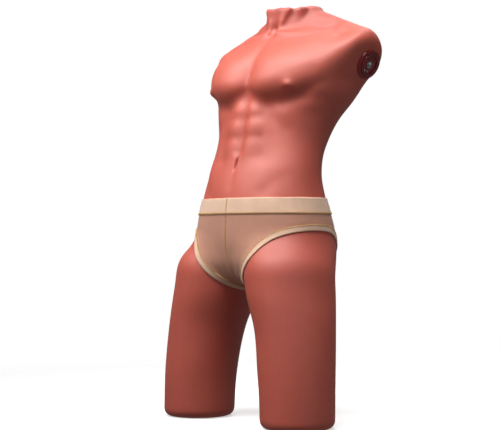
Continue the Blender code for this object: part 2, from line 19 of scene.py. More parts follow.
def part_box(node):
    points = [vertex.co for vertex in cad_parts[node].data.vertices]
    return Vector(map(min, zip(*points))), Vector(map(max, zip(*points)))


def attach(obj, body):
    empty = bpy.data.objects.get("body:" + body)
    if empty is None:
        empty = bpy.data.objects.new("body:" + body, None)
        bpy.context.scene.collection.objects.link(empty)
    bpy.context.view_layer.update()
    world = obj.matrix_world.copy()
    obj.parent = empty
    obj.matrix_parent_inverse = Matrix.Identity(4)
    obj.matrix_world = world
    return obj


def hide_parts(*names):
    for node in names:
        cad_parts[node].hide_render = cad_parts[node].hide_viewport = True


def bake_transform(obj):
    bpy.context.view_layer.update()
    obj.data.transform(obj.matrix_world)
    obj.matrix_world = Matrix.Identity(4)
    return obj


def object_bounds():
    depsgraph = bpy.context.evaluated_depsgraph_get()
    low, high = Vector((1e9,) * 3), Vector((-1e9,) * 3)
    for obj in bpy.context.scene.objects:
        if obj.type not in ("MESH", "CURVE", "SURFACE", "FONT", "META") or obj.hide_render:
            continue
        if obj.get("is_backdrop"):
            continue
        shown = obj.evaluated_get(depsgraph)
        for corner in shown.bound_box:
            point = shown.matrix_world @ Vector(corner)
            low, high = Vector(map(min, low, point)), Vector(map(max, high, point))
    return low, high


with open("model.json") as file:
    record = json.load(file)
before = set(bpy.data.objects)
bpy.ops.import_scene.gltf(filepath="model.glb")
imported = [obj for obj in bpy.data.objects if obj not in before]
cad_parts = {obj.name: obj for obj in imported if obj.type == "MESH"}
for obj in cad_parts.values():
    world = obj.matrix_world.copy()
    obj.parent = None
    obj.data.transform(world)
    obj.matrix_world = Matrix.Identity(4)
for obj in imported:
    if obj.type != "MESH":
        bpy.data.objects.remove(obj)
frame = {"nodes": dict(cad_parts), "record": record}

bl_info = {
    "name": "Torso mannequin with briefs",
    "version": (1, 0, 0),
    "blender": (4, 5, 0),
    "location": "View3D > Sidebar > Mannequin",
    "description": "Builds a jointed torso mannequin's skin, briefs and shoulder fittings round its frame",
    "category": "Object",
}

# ---- places taken from the frame ----
CAD_LOW, CAD_HIGH = (Vector(corner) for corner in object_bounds())
HEIGHT = CAD_HIGH.z
BAND_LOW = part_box("waistband")[0][2]
BAND_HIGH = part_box("waistband")[1][2]
SIDES = ((1, "left"), (-1, "right"))

# ---- the body's sections ----
# Torso: height, half width, front y, back y, squareness.
TORSO = np.array((
    (0.285, 0.140, -0.090, 0.034, 2.30),
    (0.300, 0.150, -0.112, 0.048, 2.30),
    (0.330, 0.163, -0.136, 0.066, 2.30),
    (0.370, 0.171, -0.147, 0.076, 2.25),
    (0.420, 0.168, -0.148, 0.078, 2.20),
    (0.480, 0.153, -0.141, 0.068, 2.15),
    (0.530, 0.142, -0.127, 0.062, 2.10),
    (0.570, 0.137, -0.113, 0.070, 2.10),
    (0.610, 0.138, -0.104, 0.091, 2.10),
    (0.650, 0.147, -0.097, 0.115, 2.10),
    (0.695, 0.167, -0.092, 0.145, 2.15),
    (0.740, 0.194, -0.085, 0.159, 2.20),
    (0.780, 0.200, -0.069, 0.161, 2.25),
    (0.810, 0.185, -0.044, 0.157, 2.25),
    (0.835, 0.140, -0.018, 0.146, 2.20),
    (0.855, 0.090, -0.005, 0.131, 2.15),
    (0.875, 0.064, -0.002, 0.121, 2.10),
    (0.908, 0.062, -0.001, 0.117, 2.10),
))
# Thigh: height, centre x, centre y, half width, half depth.
THIGH = np.array((
    (0.000, 0.154, -0.088, 0.077, 0.079),
    (0.100, 0.150, -0.085, 0.079, 0.081),
    (0.200, 0.137, -0.077, 0.084, 0.086),
    (0.285, 0.114, -0.068, 0.092, 0.098),
    (0.360, 0.102, -0.063, 0.091, 0.099),
    (0.450, 0.085, -0.048, 0.068, 0.078),
))
THIGH_ROUND = 0.020
THIGH_TOP = 0.395
THIGH_FADE = 0.080
THIGH_BLEND = 0.030
LEGS_BLEND = 0.016
NECK_ROUND = 0.008
TORSO_LOW, TORSO_LOW_ROUND = 0.292, 0.030

# Shoulder stump: its flat face, and the round masses that lead to it.
STUMP = Vector((0.196, 0.086, 0.767))
STUMP_TILT = math.radians(24.5)
STUMP_LOW = 0.742
STUMP_ROUND = 0.026
STUMP_RELIEF = 12.0
SHOULDER = ((0.085, 0.080, 0.810), (0.224, 0.080, 0.772), 0.044, 0.056)
TRAPEZIUS = ((0.040, 0.072, 0.872), (0.181, 0.080, 0.816), 0.034, 0.032)
SHOULDER_BLEND = 0.020
FRONT_DELTOID = ((0.110, 0.024, 0.786), (0.196, 0.052, 0.780), 0.046, 0.046)

# Leg line: where the briefs end, as a plane through the crotch and the side of the hip.
LEG_CROTCH = (0.022, 0.286)
LEG_SIDE = (0.172, 0.410)
# A point inside the hip, x and y, and how near and far from it the line can be.
LEG_MIDDLE = (0.100, -0.053)
LEG_REACH = (0.02, 0.20)
HALVINGS = 22
# How the leg line rises above its plane in front.


ARCH = 0.026
ARCH_X = 0.114
ARCH_WIDTH = 0.042
ARCH_BACK, ARCH_FRONT = -0.020, -0.100


def leg_normal():
    """Unit normal of the left leg line's plane, pointing down and outward."""
    run, rise = LEG_SIDE[0] - LEG_CROTCH[0], LEG_SIDE[1] - LEG_CROTCH[1]
    return Vector((rise, 0.0, -run)).normalized()


LEG_NORMAL = leg_normal()

# Muscles, as soft masses: centre, spread, rise. Each is made on both sides.
MUSCLES = (
    ((0.070, -0.078, 0.762), (0.044, 0.044, 0.034), 0.0165),      # upper chest
    ((0.068, -0.086, 0.722), (0.042, 0.036, 0.022), 0.0150),      # lower chest
    ((0.122, -0.052, 0.740), (0.030, 0.034, 0.028), 0.0070),      # outer chest
    ((0.027, -0.100, 0.672), (0.018, 0.026, 0.017), 0.0034),      # upper row of the belly
    ((0.029, -0.103, 0.632), (0.019, 0.026, 0.017), 0.0044),      # middle row
    ((0.029, -0.112, 0.588), (0.019, 0.026, 0.020), 0.0040),      # lower row
    ((0.028, -0.128, 0.520), (0.026, 0.028, 0.034), 0.0024),      # below the navel
    ((0.112, -0.066, 0.545), (0.028, 0.046, 0.034), 0.0045),      # side of the waist
    ((0.112, -0.068, 0.650), (0.034, 0.040, 0.026), 0.0040),      # ribs
    ((0.142, -0.030, 0.676), (0.016, 0.022, 0.010), 0.0016),
    ((0.150, -0.026, 0.704), (0.016, 0.022, 0.010), 0.0016),
    ((0.150, 0.085, 0.715), (0.030, 0.050, 0.040), 0.0060),       # side of the back
    ((0.085, 0.150, 0.768), (0.040, 0.026, 0.042), 0.0060),       # shoulder blade
    ((0.032, 0.070, 0.560), (0.018, 0.030, 0.070), 0.0045),       # beside the spine
    ((0.078, 0.074, 0.362), (0.050, 0.034, 0.044), 0.0200),       # seat
    ((0.150, -0.150, 0.200), (0.034, 0.040, 0.070), 0.0022),      # front of the thigh
    ((0.105, -0.140, 0.130), (0.026, 0.040, 0.040), 0.0018),
)
# Creases and ridges, as lines: points, width, rise (below zero for a crease).
LINES = (
    (((0.000, -0.060, 0.815), (0.000, -0.082, 0.770), (0.000, -0.092, 0.705)), 0.0180, -0.0060),
    (((0.000, -0.030, 0.838), (0.000, -0.078, 0.770), (0.000, -0.088, 0.700)), 0.0080, -0.0056),
    (((0.000, -0.090, 0.705), (0.000, -0.096, 0.650), (0.000, -0.108, 0.583)), 0.0085, -0.0052),
    (((0.000, -0.114, 0.552), (0.000, -0.130, 0.505)), 0.0080, -0.0014),
    (((0.018, -0.092, 0.698), (0.050, -0.092, 0.686), (0.095, -0.076, 0.684),
      (0.130, -0.050, 0.700), (0.150, -0.024, 0.728)), 0.0120, -0.0060),
    (((0.008, -0.100, 0.653), (0.046, -0.092, 0.655)), 0.0085, -0.0020),
    (((0.008, -0.104, 0.611), (0.048, -0.096, 0.611)), 0.0085, -0.0020),
    (((0.058, -0.088, 0.672), (0.064, -0.092, 0.615), (0.061, -0.102, 0.570)), 0.0150, -0.0040),
    (((0.030, -0.096, 0.688), (0.066, -0.086, 0.664), (0.100, -0.070, 0.628)), 0.0130, -0.0024),
    (((0.014, -0.018, 0.846), (0.050, -0.012, 0.840), (0.090, 0.004, 0.836),
      (0.130, 0.034, 0.842)), 0.0060, 0.0080),
    (((0.045, 0.000, 0.862), (0.092, 0.020, 0.860), (0.128, 0.050, 0.862)), 0.0110, -0.0080),
    (((0.060, -0.030, 0.818), (0.110, -0.010, 0.814)), 0.0130, -0.0034),
    (((0.118, -0.028, 0.766), (0.146, 0.006, 0.794), (0.160, 0.034, 0.822)), 0.0130, -0.0042),
    (((0.010, -0.010, 0.848), (0.021, -0.002, 0.872), (0.034, 0.010, 0.899)), 0.0052, 0.0036),
    (((0.002, -0.004, 0.860), (0.004, -0.003, 0.899)), 0.0050, -0.0026),
    (((0.029, 0.000, 0.862), (0.043, 0.016, 0.899)), 0.0046, -0.0022),
    (((0.042, 0.014, 0.862), (0.053, 0.030, 0.899)), 0.0046, 0.0014),
    (((0.052, 0.032, 0.866), (0.058, 0.046, 0.899)), 0.0046, -0.0018),
    (((0.000, 0.158, 0.810), (0.000, 0.138, 0.690), (0.000, 0.078, 0.580),
      (0.000, 0.066, 0.500)), 0.0140, -0.0075),
    (((0.112, -0.078, 0.525), (0.082, -0.118, 0.490)), 0.0120, -0.0026),
    (((0.000, 0.080, 0.424), (0.000, 0.098, 0.370), (0.000, 0.070, 0.310)), 0.0120, -0.0150),
    (((0.012, 0.030, 0.292), (0.070, 0.046, 0.296), (0.125, 0.040, 0.312)), 0.0120, -0.0050),
)
# Small details, which the mesh is made finer for.
NIPPLE = (0.119, -0.0780, 0.718)
FINE_MASSES = (
    (NIPPLE, (0.0120, 0.0300, 0.0110), 0.0012),
    (NIPPLE, (0.0060, 0.0300, 0.0060), 0.0048),
    ((0.000, -0.010, 0.850), (0.0105, 0.0160, 0.0095), -0.0085),
)
FINE_CENTRE = (
    ((0.000, -0.115, 0.554), (0.0026, 0.0300, 0.0092), -0.0085),   # navel
    ((0.006, -0.115, 0.552), (0.0040, 0.0300, 0.0110), 0.0014),
    ((-0.006, -0.115, 0.552), (0.0040, 0.0300, 0.0110), 0.0014),
)
VEINS = (
    ((0.160, 0.045, 0.846), (0.138, 0.016, 0.822), (0.128, 0.004, 0.806), (0.108, -0.016, 0.806)),
    ((0.128, 0.004, 0.806), (0.143, 0.016, 0.798), (0.158, 0.026, 0.796)),
    ((0.150, -0.128, 0.330), (0.160, -0.130, 0.285), (0.166, -0.132, 0.236), (0.180, -0.126, 0.205)),
    ((0.166, -0.132, 0.236), (0.163, -0.140, 0.196), (0.174, -0.136, 0.168)),
)
VEIN_WIDTH = 0.0016
VEIN_RISE = 0.0015
VEIN_STEP, VEIN_REACH, MASS_REACH, SPOT_MARGIN = 0.004, 0.0045, 0.012, 0.003


# ---- sizes and colours that a user may change ----
def length(name, description, default):
    """A length in metres."""
    return FloatProperty(name=name, description=description, default=default, unit="LENGTH")


def number(name, description, default):
    """A plain number."""
    return FloatProperty(name=name, description=description, default=default)


def colour(name, description, default):
    """A colour."""
    return FloatVectorProperty(name=name, description=description, default=default, subtype="COLOR")


class SkinSettings(PropertyGroup):
    """Sizes and colours of the skin."""
    cell: length("Cell", "Spacing of the skin mesh", 0.0042)
    fine_cell: length("Fine cell", "Spacing near small details", 0.0014)
    muscle: number("Muscle", "Strength of the muscle relief", 1.0)
    # The skin's two tones; the deep one also serves as painted shade in creases and at the top of the neck.
    light: colour("Light skin", "Colour of raised skin", (0.630, 0.104, 0.060))
    deep: colour("Deep skin", "Colour of creases and flushed patches", (0.470, 0.062, 0.035))
    roughness: number("Roughness", "Base roughness of the skin", 0.60)


class BriefsSettings(PropertyGroup):
    """Sizes and colours of the briefs."""
    cloth_gap: length("Cloth gap", "From the skin to the knit", 0.0010)
    cloth: length("Cloth", "Thickness of the knit", 0.0006)
    band_rise: length("Band rise", "From the skin to the bands' outer face", 0.0034)
    leg_band: length("Leg band", "Width of the leg bands", 0.0135)
    stitch: length("Stitch", "Spacing of the stitches", 0.0028)
    thread: length("Thread", "Radius of the stitching thread", 0.00058)
    knit: colour("Knit", "Colour of the sheer knit", (0.780, 0.420, 0.290))
    elastic: colour("Elastic", "Colour of the bands", (0.860, 0.570, 0.400))
    gold: colour("Gold thread", "Colour of the stitching", (0.640, 0.360, 0.085))


class FittingSettings(PropertyGroup):
    """Sizes and colours of the shoulder fittings."""
    sides: IntProperty(name="Sides", description="Facets round a turned piece", default=96)
    cap: colour("Cap", "Colour of the caps", (0.230, 0.007, 0.011))
    steel: colour("Steel", "Colour of the steel", (0.560, 0.550, 0.540))


class StageSettings(PropertyGroup):
    """Camera, lights and floor."""
    azimuth: FloatProperty(name="Azimuth", description="Camera angle round the mannequin",
                           default=math.radians(46.5), subtype="ANGLE")
    distance: length("Distance", "Camera distance", 3.0)
    lens: number("Lens", "Focal length in millimetres", 97.7)
    eye: length("Eye height", "Camera height", 0.388)
    key: number("Key", "Power of the key light in watts", 7.5)
    top: number("Top", "Power of the top light in watts", 5.0)
    fill: number("Fill", "Power of the fill light in watts", 5.0)
    ambient: number("Ambient", "Brightness of the surrounding light", 0.13)


# ---- numbers on fields of points ----
def smooth_rows(table, count=500):
    """Closely spaced rows of a section table, on a smooth curve through its own rows."""
    heights = np.linspace(table[0, 0], table[-1, 0], count)
    slopes = np.gradient(table, table[:, 0], axis=0)
    k = np.clip(np.searchsorted(table[:, 0], heights, side="right") - 1, 0, len(table) - 2)
    span = (table[k + 1, 0] - table[k, 0])[:, None]
    s = (heights - table[k, 0])[:, None] / span
    return ((2 * s**3 - 3 * s**2 + 1) * table[k] + (s**3 - 2 * s**2 + s) * span * slopes[k]
            + (3 * s**2 - 2 * s**3) * table[k + 1] + (s**3 - s**2) * span * slopes[k + 1])


TORSO_ROWS = smooth_rows(TORSO)
THIGH_ROWS = smooth_rows(THIGH)


def row_values(rows, z):
    """Section values at each height."""
    return [np.interp(z, rows[:, 0], rows[:, column]) for column in range(1, rows.shape[1])]


def soft_least(a, b, width):
    """The smaller of two fields, with a soft join."""
    share = np.clip(0.5 + 0.5 * (b - a) / width, 0.0, 1.0)
    return b + (a - b) * share - width * share * (1 - share)


def soft_most(a, b, width):
    """The larger of two fields, with a soft join."""
    return -soft_least(-a, -b, width)


def tapered_rod(points, start, end, start_radius, end_radius):
    """Distance to a round-ended rod whose radius changes along it."""
    start, end = np.array(start), np.array(end)
    along = end - start
    t = np.clip((points - start) @ along / (along @ along), 0.0, 1.0)
    nearest = start + t[:, None] * along
    return np.linalg.norm(points - nearest, axis=1) - (start_radius + (end_radius - start_radius) * t)


def torso_field(points):
    """Distance to the torso without its shoulders."""
    x, y, z = points.T
    half, front, back, power = row_values(TORSO_ROWS, z)
    middle, depth = (front + back) / 2, (back - front) / 2
    size = (np.abs(x / half) ** power + np.abs((y - middle) / depth) ** power) ** (1 / power)
    reach = np.hypot(x, y - middle) + 1e-6
    field = reach * (1 - 1 / (size + 1e-6))
    turn = np.arctan2(x, middle - y)
    top = HEIGHT + 0.0018 + 0.0016 * np.sin(3 * turn + 2.6) + 0.0010 * np.sin(7 * turn)
    return soft_most(soft_most(field, z - top, NECK_ROUND), TORSO_LOW - z, TORSO_LOW_ROUND)


def thigh_field(points, side):
    """Distance to one thigh."""
    x, y, z = side * points[:, 0], points[:, 1], points[:, 2]
    centre_x, centre_y, half, depth = row_values(THIGH_ROWS, z)
    across, along = x - centre_x, y - centre_y
    field = np.hypot(across, along) * (1 - 1 / (np.hypot(across / half, along / depth) + 1e-6))
    return soft_most(soft_most(field, -z, THIGH_ROUND), z - THIGH_TOP, THIGH_FADE)


def base_field(points):
    """Distance to the body without muscles."""
    mirrored = np.abs(points[:, 0])
    folded = np.column_stack((mirrored, points[:, 1:]))
    field = torso_field(points)
    for mass in (SHOULDER, FRONT_DELTOID, TRAPEZIUS):
        field = soft_least(field, tapered_rod(folded, *mass), SHOULDER_BLEND)
    face = (mirrored - STUMP.x) * math.cos(STUMP_TILT) - (points[:, 2] - STUMP.z) * math.sin(STUMP_TILT)
    face -= STUMP_RELIEF * np.maximum(STUMP_LOW - points[:, 2], 0.0) ** 2
    field = soft_most(field, face, STUMP_ROUND)
    legs = soft_least(thigh_field(points, 1), thigh_field(points, -1), LEGS_BLEND)
    return soft_least(field, legs, THIGH_BLEND)


def masses(folded, table):
    """Total rise of soft masses."""
    rise = np.zeros(len(folded))
    for centre, spread, height in table:
        offset = (folded - np.array(centre)) / np.array(spread)
        rise += height * np.exp(-0.5 * np.einsum("ij,ij->i", offset, offset))
    return rise


def line_distance(points, route):
    """Distance from points to a route of straight stretches."""
    nearest = np.full(len(points), np.inf)
    for start, end in zip(np.array(route[:-1]), np.array(route[1:])):
        along = end - start
        t = np.clip((points - start) @ along / (along @ along), 0.0, 1.0)
        nearest = np.minimum(nearest, np.linalg.norm(points - start - t[:, None] * along, axis=1))
    return nearest


def line_rise(folded, route, width, height):
    """Rise of one ridge or crease, worked out only near it."""
    route = np.array(route)
    margin = 3.2 * width
    near = np.all((folded > route.min(axis=0) - margin) & (folded < route.max(axis=0) + margin), axis=1)
    rise = np.zeros(len(folded))
    rise[near] = height * np.exp(-0.5 * (line_distance(folded[near], route) / width) ** 2)
    return rise


def relief(points, strength):
    """Total rise of muscles, creases and ridges."""
    folded = np.column_stack((np.abs(points[:, 0]), points[:, 1:]))
    rise = masses(folded, MUSCLES)
    for route, width, height in LINES:
        rise += line_rise(folded, route, width, height)
    return strength * rise


def fine_relief(points):
    """Total rise of the small details."""
    folded = np.column_stack((np.abs(points[:, 0]), points[:, 1:]))
    rise = masses(folded, FINE_MASSES) + masses(points, FINE_CENTRE)
    for route in VEINS:
        rise += line_rise(folded, route, VEIN_WIDTH, VEIN_RISE)
    return rise


def leg_arch(points):
    """How far each leg line rises above its plane at the front of the thigh."""
    across = np.exp(-(((np.abs(points[:, 0]) - ARCH_X) / ARCH_WIDTH) ** 2))
    ahead = np.clip((ARCH_BACK - points[:, 1]) / (ARCH_BACK - ARCH_FRONT), 0.0, 1.0)
    return ARCH * across * ahead * ahead * (3 - 2 * ahead)


def skin_field(strength):
    """The whole body's field, with its muscles."""
    return lambda points: base_field(points) - relief(points, strength)


CLOTH_MUSCLES = tuple(mass for mass in MUSCLES if mass[0][2] < 0.40 and mass[0][1] > 0)


def cloth_field(points):
    """The body as stretched cloth sees it: no creases."""
    folded = np.column_stack((np.abs(points[:, 0]), points[:, 1:]))
    return base_field(points) - masses(folded, CLOTH_MUSCLES)


def slope_of(field, points, step=0.0004):
    """Gradient of a field at points."""
    slopes = np.empty_like(points)
    for axis in range(3):
        shift = np.zeros(3)
        shift[axis] = step
        slopes[:, axis] = (field(points + shift) - field(points - shift)) / (2 * step)
    return slopes


def settle(points, field, level=0.0, rounds=6, flat=False):
    """Move points onto a level of a field. Flat keeps their heights."""
    for _ in range(rounds):
        slopes = slope_of(field, points)
        if flat:
            slopes[:, 2] = 0.0
        scale = (field(points) - level) / np.maximum(np.einsum("ij,ij->i", slopes, slopes), 0.05)
        points = points - np.clip(scale, -0.02, 0.02)[:, None] * slopes
    return points


def unit(vectors):
    """Vectors scaled to length one."""
    return vectors / np.maximum(np.linalg.norm(vectors, axis=1, keepdims=True), 1e-9)


# ---- meshes ----
def surface_net(field, low, high, cell):
    """Points and four-sided faces of a field's zero surface, on a grid."""
    axes = [np.arange(a, b + cell, cell) for a, b in zip(low, high)]
    shape = tuple(len(axis) for axis in axes)
    grid = np.stack(np.meshgrid(*axes, indexing="ij"), axis=-1).reshape(-1, 3)
    values = np.concatenate([field(part) for part in np.array_split(grid, 12)]).reshape(shape)
    inside = values < 0
    total = np.zeros((*shape, 3))
    count = np.zeros(shape)
    edges = []
    for axis in range(3):
        first = tuple(slice(0, -1) if k == axis else slice(None) for k in range(3))
        second = tuple(slice(1, None) if k == axis else slice(None) for k in range(3))
        spots = np.argwhere(inside[first] != inside[second])
        far = spots.copy()
        far[:, axis] += 1
        near_value, far_value = values[tuple(spots.T)], values[tuple(far.T)]
        crossing = spots.astype(float)
        crossing[:, axis] += near_value / (near_value - far_value)
        others = [k for k in range(3) if k != axis]
        cells = []
        for back_a, back_b in ((0, 0), (1, 0), (1, 1), (0, 1)):
            spot = spots.copy()
            spot[:, others[0]] -= back_a
            spot[:, others[1]] -= back_b
            np.add.at(total, tuple(spot.T), crossing)
            np.add.at(count, tuple(spot.T), 1)
            cells.append(spot)
        edges.append((axis, near_value < 0, cells))
    index = np.full(shape, -1)
    used = count > 0
    index[used] = np.arange(used.sum())
    points = total[used] / count[used][:, None] * cell + np.array([axis[0] for axis in axes])
    faces = []
    for axis, starts_inside, cells in edges:
        quads = np.column_stack([index[tuple(spot.T)] for spot in cells])
        turned = starts_inside if axis != 1 else ~starts_inside
        faces.append(np.where(turned[:, None], quads, quads[:, ::-1]))
    return points, np.concatenate(faces)


def mesh_object(name, points, faces):
    """An object from plain points and faces, smooth shaded."""
    mesh = bpy.data.meshes.new(name)
    mesh.from_pydata([tuple(point) for point in points], [], [tuple(face) for face in faces])
    mesh.validate()
    mesh.shade_smooth()
    return link(name, mesh)


def link(name, data):
    """Put a mesh, camera or light in the scene as an object."""
    item = bpy.data.objects.new(name, data)
    bpy.context.scene.collection.objects.link(item)
    return item


def get_points(mesh):
    """A mesh's points as an array."""
    points = np.empty(len(mesh.vertices) * 3)
    mesh.vertices.foreach_get("co", points)
    return points.reshape(-1, 3)


def set_points(mesh, points):
    """Write an array back as a mesh's points."""
    mesh.vertices.foreach_set("co", points.ravel())
    mesh.update()


@contextmanager
def edited(mesh, source=None):
    """Open a mesh, or a copy of a source's shape, for editing, and write it back."""
    work = bmesh.new()
    work.from_mesh(source or mesh)
    yield work
    work.to_mesh(mesh)
    work.free()


def fine_spots():
    """Places of the small details, on both sides."""
    spots = [(centre, MASS_REACH) for centre, _, _ in (*FINE_MASSES[1:], *FINE_CENTRE)]
    for route in VEINS:
        for start, end in zip(np.array(route[:-1]), np.array(route[1:])):
            steps = max(2, int(np.linalg.norm(end - start) / VEIN_STEP))
            spots += [(start + (end - start) * k / steps, VEIN_REACH) for k in range(steps + 1)]
    return spots


def refine(mesh, least):
    """Split long edges near the small details until they are fine enough."""
    spots = [(np.array(centre), reach + SPOT_MARGIN) for centre, reach in fine_spots()]
    with edited(mesh) as work:
        for _ in range(2):
            work.edges.ensure_lookup_table()
            ends = np.array([[*edge.verts[0].co, *edge.verts[1].co] for edge in work.edges])
            middle = (ends[:, :3] + ends[:, 3:]) / 2
            middle[:, 0] = np.abs(middle[:, 0])
            long = np.linalg.norm(ends[:, :3] - ends[:, 3:], axis=1) > least
            near = np.zeros(len(middle), bool)
            for centre, reach in spots:
                near |= np.linalg.norm(middle - centre, axis=1) < reach
            chosen = [work.edges[k] for k in np.flatnonzero(near & long)]
            if chosen:
                bmesh.ops.subdivide_edges(work, edges=chosen, cuts=1, use_grid_fill=True)
        bmesh.ops.poke(work, faces=[face for face in work.faces if len(face.verts) > 4])


def arched(mesh, turn):
    """Raise or lower a mesh by the arch of the leg lines."""
    points = get_points(mesh)
    points[:, 2] += turn * leg_arch(points)
    set_points(mesh, points)


def sliced(mesh, name, planes):
    """A copy of a mesh with everything on the normal side of each plane cut away.

    The planes bend with the arch of the leg lines.
    """
    flat = mesh.copy()
    arched(flat, -1)
    made = bpy.data.meshes.new(name)
    with edited(made, flat) as work:
        for spot, normal in planes:
            geometry = [*work.verts, *work.edges, *work.faces]
            bmesh.ops.bisect_plane(work, geom=geometry, dist=1e-6, plane_co=spot, plane_no=normal,
                                   clear_outer=True)
        loose = [vert for vert in work.verts if not vert.link_faces]
        bmesh.ops.delete(work, geom=loose, context="VERTS")
    bpy.data.meshes.remove(flat)
    arched(made, 1)
    made.shade_smooth()
    return made


def leg_plane(side, below):
    """A point and the normal of the plane that lies a distance below one leg line."""
    normal = Vector((side * LEG_NORMAL.x, 0.0, LEG_NORMAL.z))
    return Vector((side * LEG_CROTCH[0], 0.0, LEG_CROTCH[1])) + normal * below, normal


SHARP_ANGLE = math.radians(40)


def apply_modifiers(item):
    """Turn a piece's modifiers into its mesh."""
    shown = item.evaluated_get(bpy.context.evaluated_depsgraph_get())
    item.data = bpy.data.meshes.new_from_object(shown)
    item.modifiers.clear()
    item.data.name = item.name


def thicken(item, thickness):
    """Give an open sheet its thickness, outward."""
    modifier = item.modifiers.new("Thickness", "SOLIDIFY")
    modifier.thickness = thickness
    modifier.offset = 1.0
    apply_modifiers(item)
    item.data.shade_smooth()


def ring_mesh(name, loops, closed_profile=True):
    """A mesh through closed loops, each an array of points. A closed profile joins last to first."""
    count = len(loops[0])
    points = np.concatenate(loops)
    ahead = np.roll(np.arange(count), -1)
    faces = []
    pairs = list(zip(range(len(loops) - 1), range(1, len(loops))))
    if closed_profile:
        pairs.append((len(loops) - 1, 0))
    here = np.arange(count)
    for low, high in pairs:
        base, top = low * count, high * count
        faces.append(np.column_stack((base + here, base + ahead, top + ahead, top + here)))
    return mesh_object(name, points, np.concatenate(faces))


# ---- shader helpers ----
class Value:
    """A node's output that takes part in sums: each operator adds its Math node."""

    def __init__(self, maker, socket):
        self.maker = maker
        self.socket = socket

    def sum(self, operation, first, second):
        """One Math node on two values."""
        return self.maker.node("ShaderNodeMath", {"operation": operation}, {0: first, 1: second})

    def __add__(self, other):
        return self.sum("ADD", self, other)

    __radd__ = __add__

    def __sub__(self, other):
        return self.sum("SUBTRACT", self, other)

    def __rsub__(self, other):
        return self.sum("SUBTRACT", other, self)

    def __mul__(self, other):
        return self.sum("MULTIPLY", self, other)

    __rmul__ = __mul__


class Finish:
    """A material in the making: one node method, and its Principled shader."""

    def __init__(self, name):
        self.material = bpy.data.materials.new(name)
        self.material.use_nodes = True
        self.tree = self.material.node_tree
        self.shader = self.tree.nodes["Principled BSDF"]

    def plug(self, socket, value):
        """Link a value to a socket, or set it."""
        if isinstance(value, Value):
            self.tree.links.new(value.socket, socket)
        else:
            socket.default_value = value

    def node(self, kind, settings=None, inputs=None, output=0):
        """Add a node with its settings, then its sockets, and return one output."""
        made = self.tree.nodes.new(kind)
        for name, setting in (settings or {}).items():
            setattr(made, name, setting)
        for key, value in (inputs or {}).items():
            self.plug(made.inputs[key], value)
        return Value(self, made.outputs[output])

    def set(self, **inputs):
        """Set or link the Principled shader's sockets, named with underscores for spaces."""
        for name, value in inputs.items():
            self.plug(self.shader.inputs[name.replace("_", " ")], value)

    def place(self):
        """Object coordinates in metres."""
        return self.node("ShaderNodeTexCoord", output="Object")

    def noise(self, scale, detail=2.0, roughness=0.5):
        """Noise from 0 to 1."""
        return self.node("ShaderNodeTexNoise", None,
                         {"Vector": self.place(), "Scale": scale, "Detail": detail, "Roughness": roughness})

    def ramp(self, value, low, high):
        """A value stretched so that low gives 0 and high gives 1."""
        return self.node("ShaderNodeMapRange", {"clamp": True},
                         {"Value": value, "From Min": low, "From Max": high})

    def blend(self, share, first, second):
        """One colour turning into another."""
        return self.node("ShaderNodeMix", {"data_type": "RGBA"}, {0: share, 6: first, 7: second}, output=2)

    def parts(self, vector):
        """The x, y and z of a vector."""
        first = self.node("ShaderNodeSeparateXYZ", None, {0: vector})
        return [Value(self, socket) for socket in first.socket.node.outputs]

    def wave(self, value):
        """The sine of a value."""
        return self.node("ShaderNodeMath", {"operation": "SINE"}, {0: value})

    def weave(self, lean, columns, rows, share):
        """Fine crossed ribs, round the body and up it, from 0 to 1."""
        x, y, z = self.parts(self.place())
        turn = self.node("ShaderNodeMath", {"operation": "ARCTAN2"}, {0: x, 1: y + lean if lean else y})
        return self.ramp(self.wave(turn * columns) * share + self.wave(z * rows) * (1 - share), -0.9, 0.9)

    def bump(self, height, distance, strength=1.0):
        """A surface normal bent by a height."""
        return self.node("ShaderNodeBump", None,
                         {"Height": height, "Distance": distance, "Strength": strength})


def solid(colour, share=1.0):
    """A colour property as four numbers, made lighter or darker."""
    return (*(min(1.0, part * share) for part in colour), 1.0)


MATERIALS = {}


def finish(name, build):
    """A material by name, built once."""
    if name not in MATERIALS:
        maker = Finish(name)
        build(maker)
        MATERIALS[name] = maker.material
    return MATERIALS[name]


def paint(item, material):
    """Give an object one material."""
    item.data.materials.clear()
    item.data.materials.append(material)


# ---- materials ----
def skin_finish(make):
    """Soft matt silicone: flushed patches, fine pores, a faint sheen, and painted shade in creases and at
    the top of the neck.
    """
    settings = bpy.context.scene.mannequin_skin
    patches = make.ramp(make.noise(7.0, 3.0), 0.36, 0.66)
    speckle = make.ramp(make.noise(420.0, 3.0, 0.6), 0.30, 0.72)
    # Painted shade: skin turns to its deep colour in creases and hollows and stays light where it bulges.
    fold = make.node("ShaderNodeNewGeometry", output="Pointiness")
    painted_crease_shade = make.ramp(fold, 0.47, 0.505)
    # Painted shade: skin turns to its deep colour towards the top of the neck.
    painted_neck_shade = make.ramp(make.parts(make.place())[2], 0.850, 0.885)
    share = (patches * 0.42 + speckle * 0.14 + painted_crease_shade * 0.44) * (1 - 0.9 * painted_neck_shade)
    make.set(Base_Color=make.blend(share, solid(settings.deep), solid(settings.light)),
             Roughness=settings.roughness + 0.10 * speckle - 0.05 * patches,
             Normal=make.bump(make.noise(900.0, 3.0, 0.65), 0.00018, 0.5),
             Subsurface_Weight=0.20, Subsurface_Scale=0.015, Subsurface_Radius=(1.0, 0.30, 0.15),
             Specular_IOR_Level=1.0, Coat_Weight=0.35, Coat_Roughness=0.5)


def knit_finish(make):
    """Sheer knit: fine ribs and rows of loops, with skin showing between them."""
    settings = bpy.context.scene.mannequin_briefs
    weave = make.weave(0.0, 620.0, 4200.0, 0.6)
    cloud = make.ramp(make.noise(16.0, 3.0), 0.3, 0.7)
    shade = make.blend(weave * 0.6 + cloud * 0.4, solid(settings.knit, 0.78), solid(settings.knit, 1.18))
    make.set(Base_Color=shade, Roughness=0.86 - 0.14 * weave, Alpha=0.40 + 0.28 * weave,
             Normal=make.bump(weave, 0.00022, 0.8), Sheen_Weight=0.25, Sheen_Roughness=0.45)


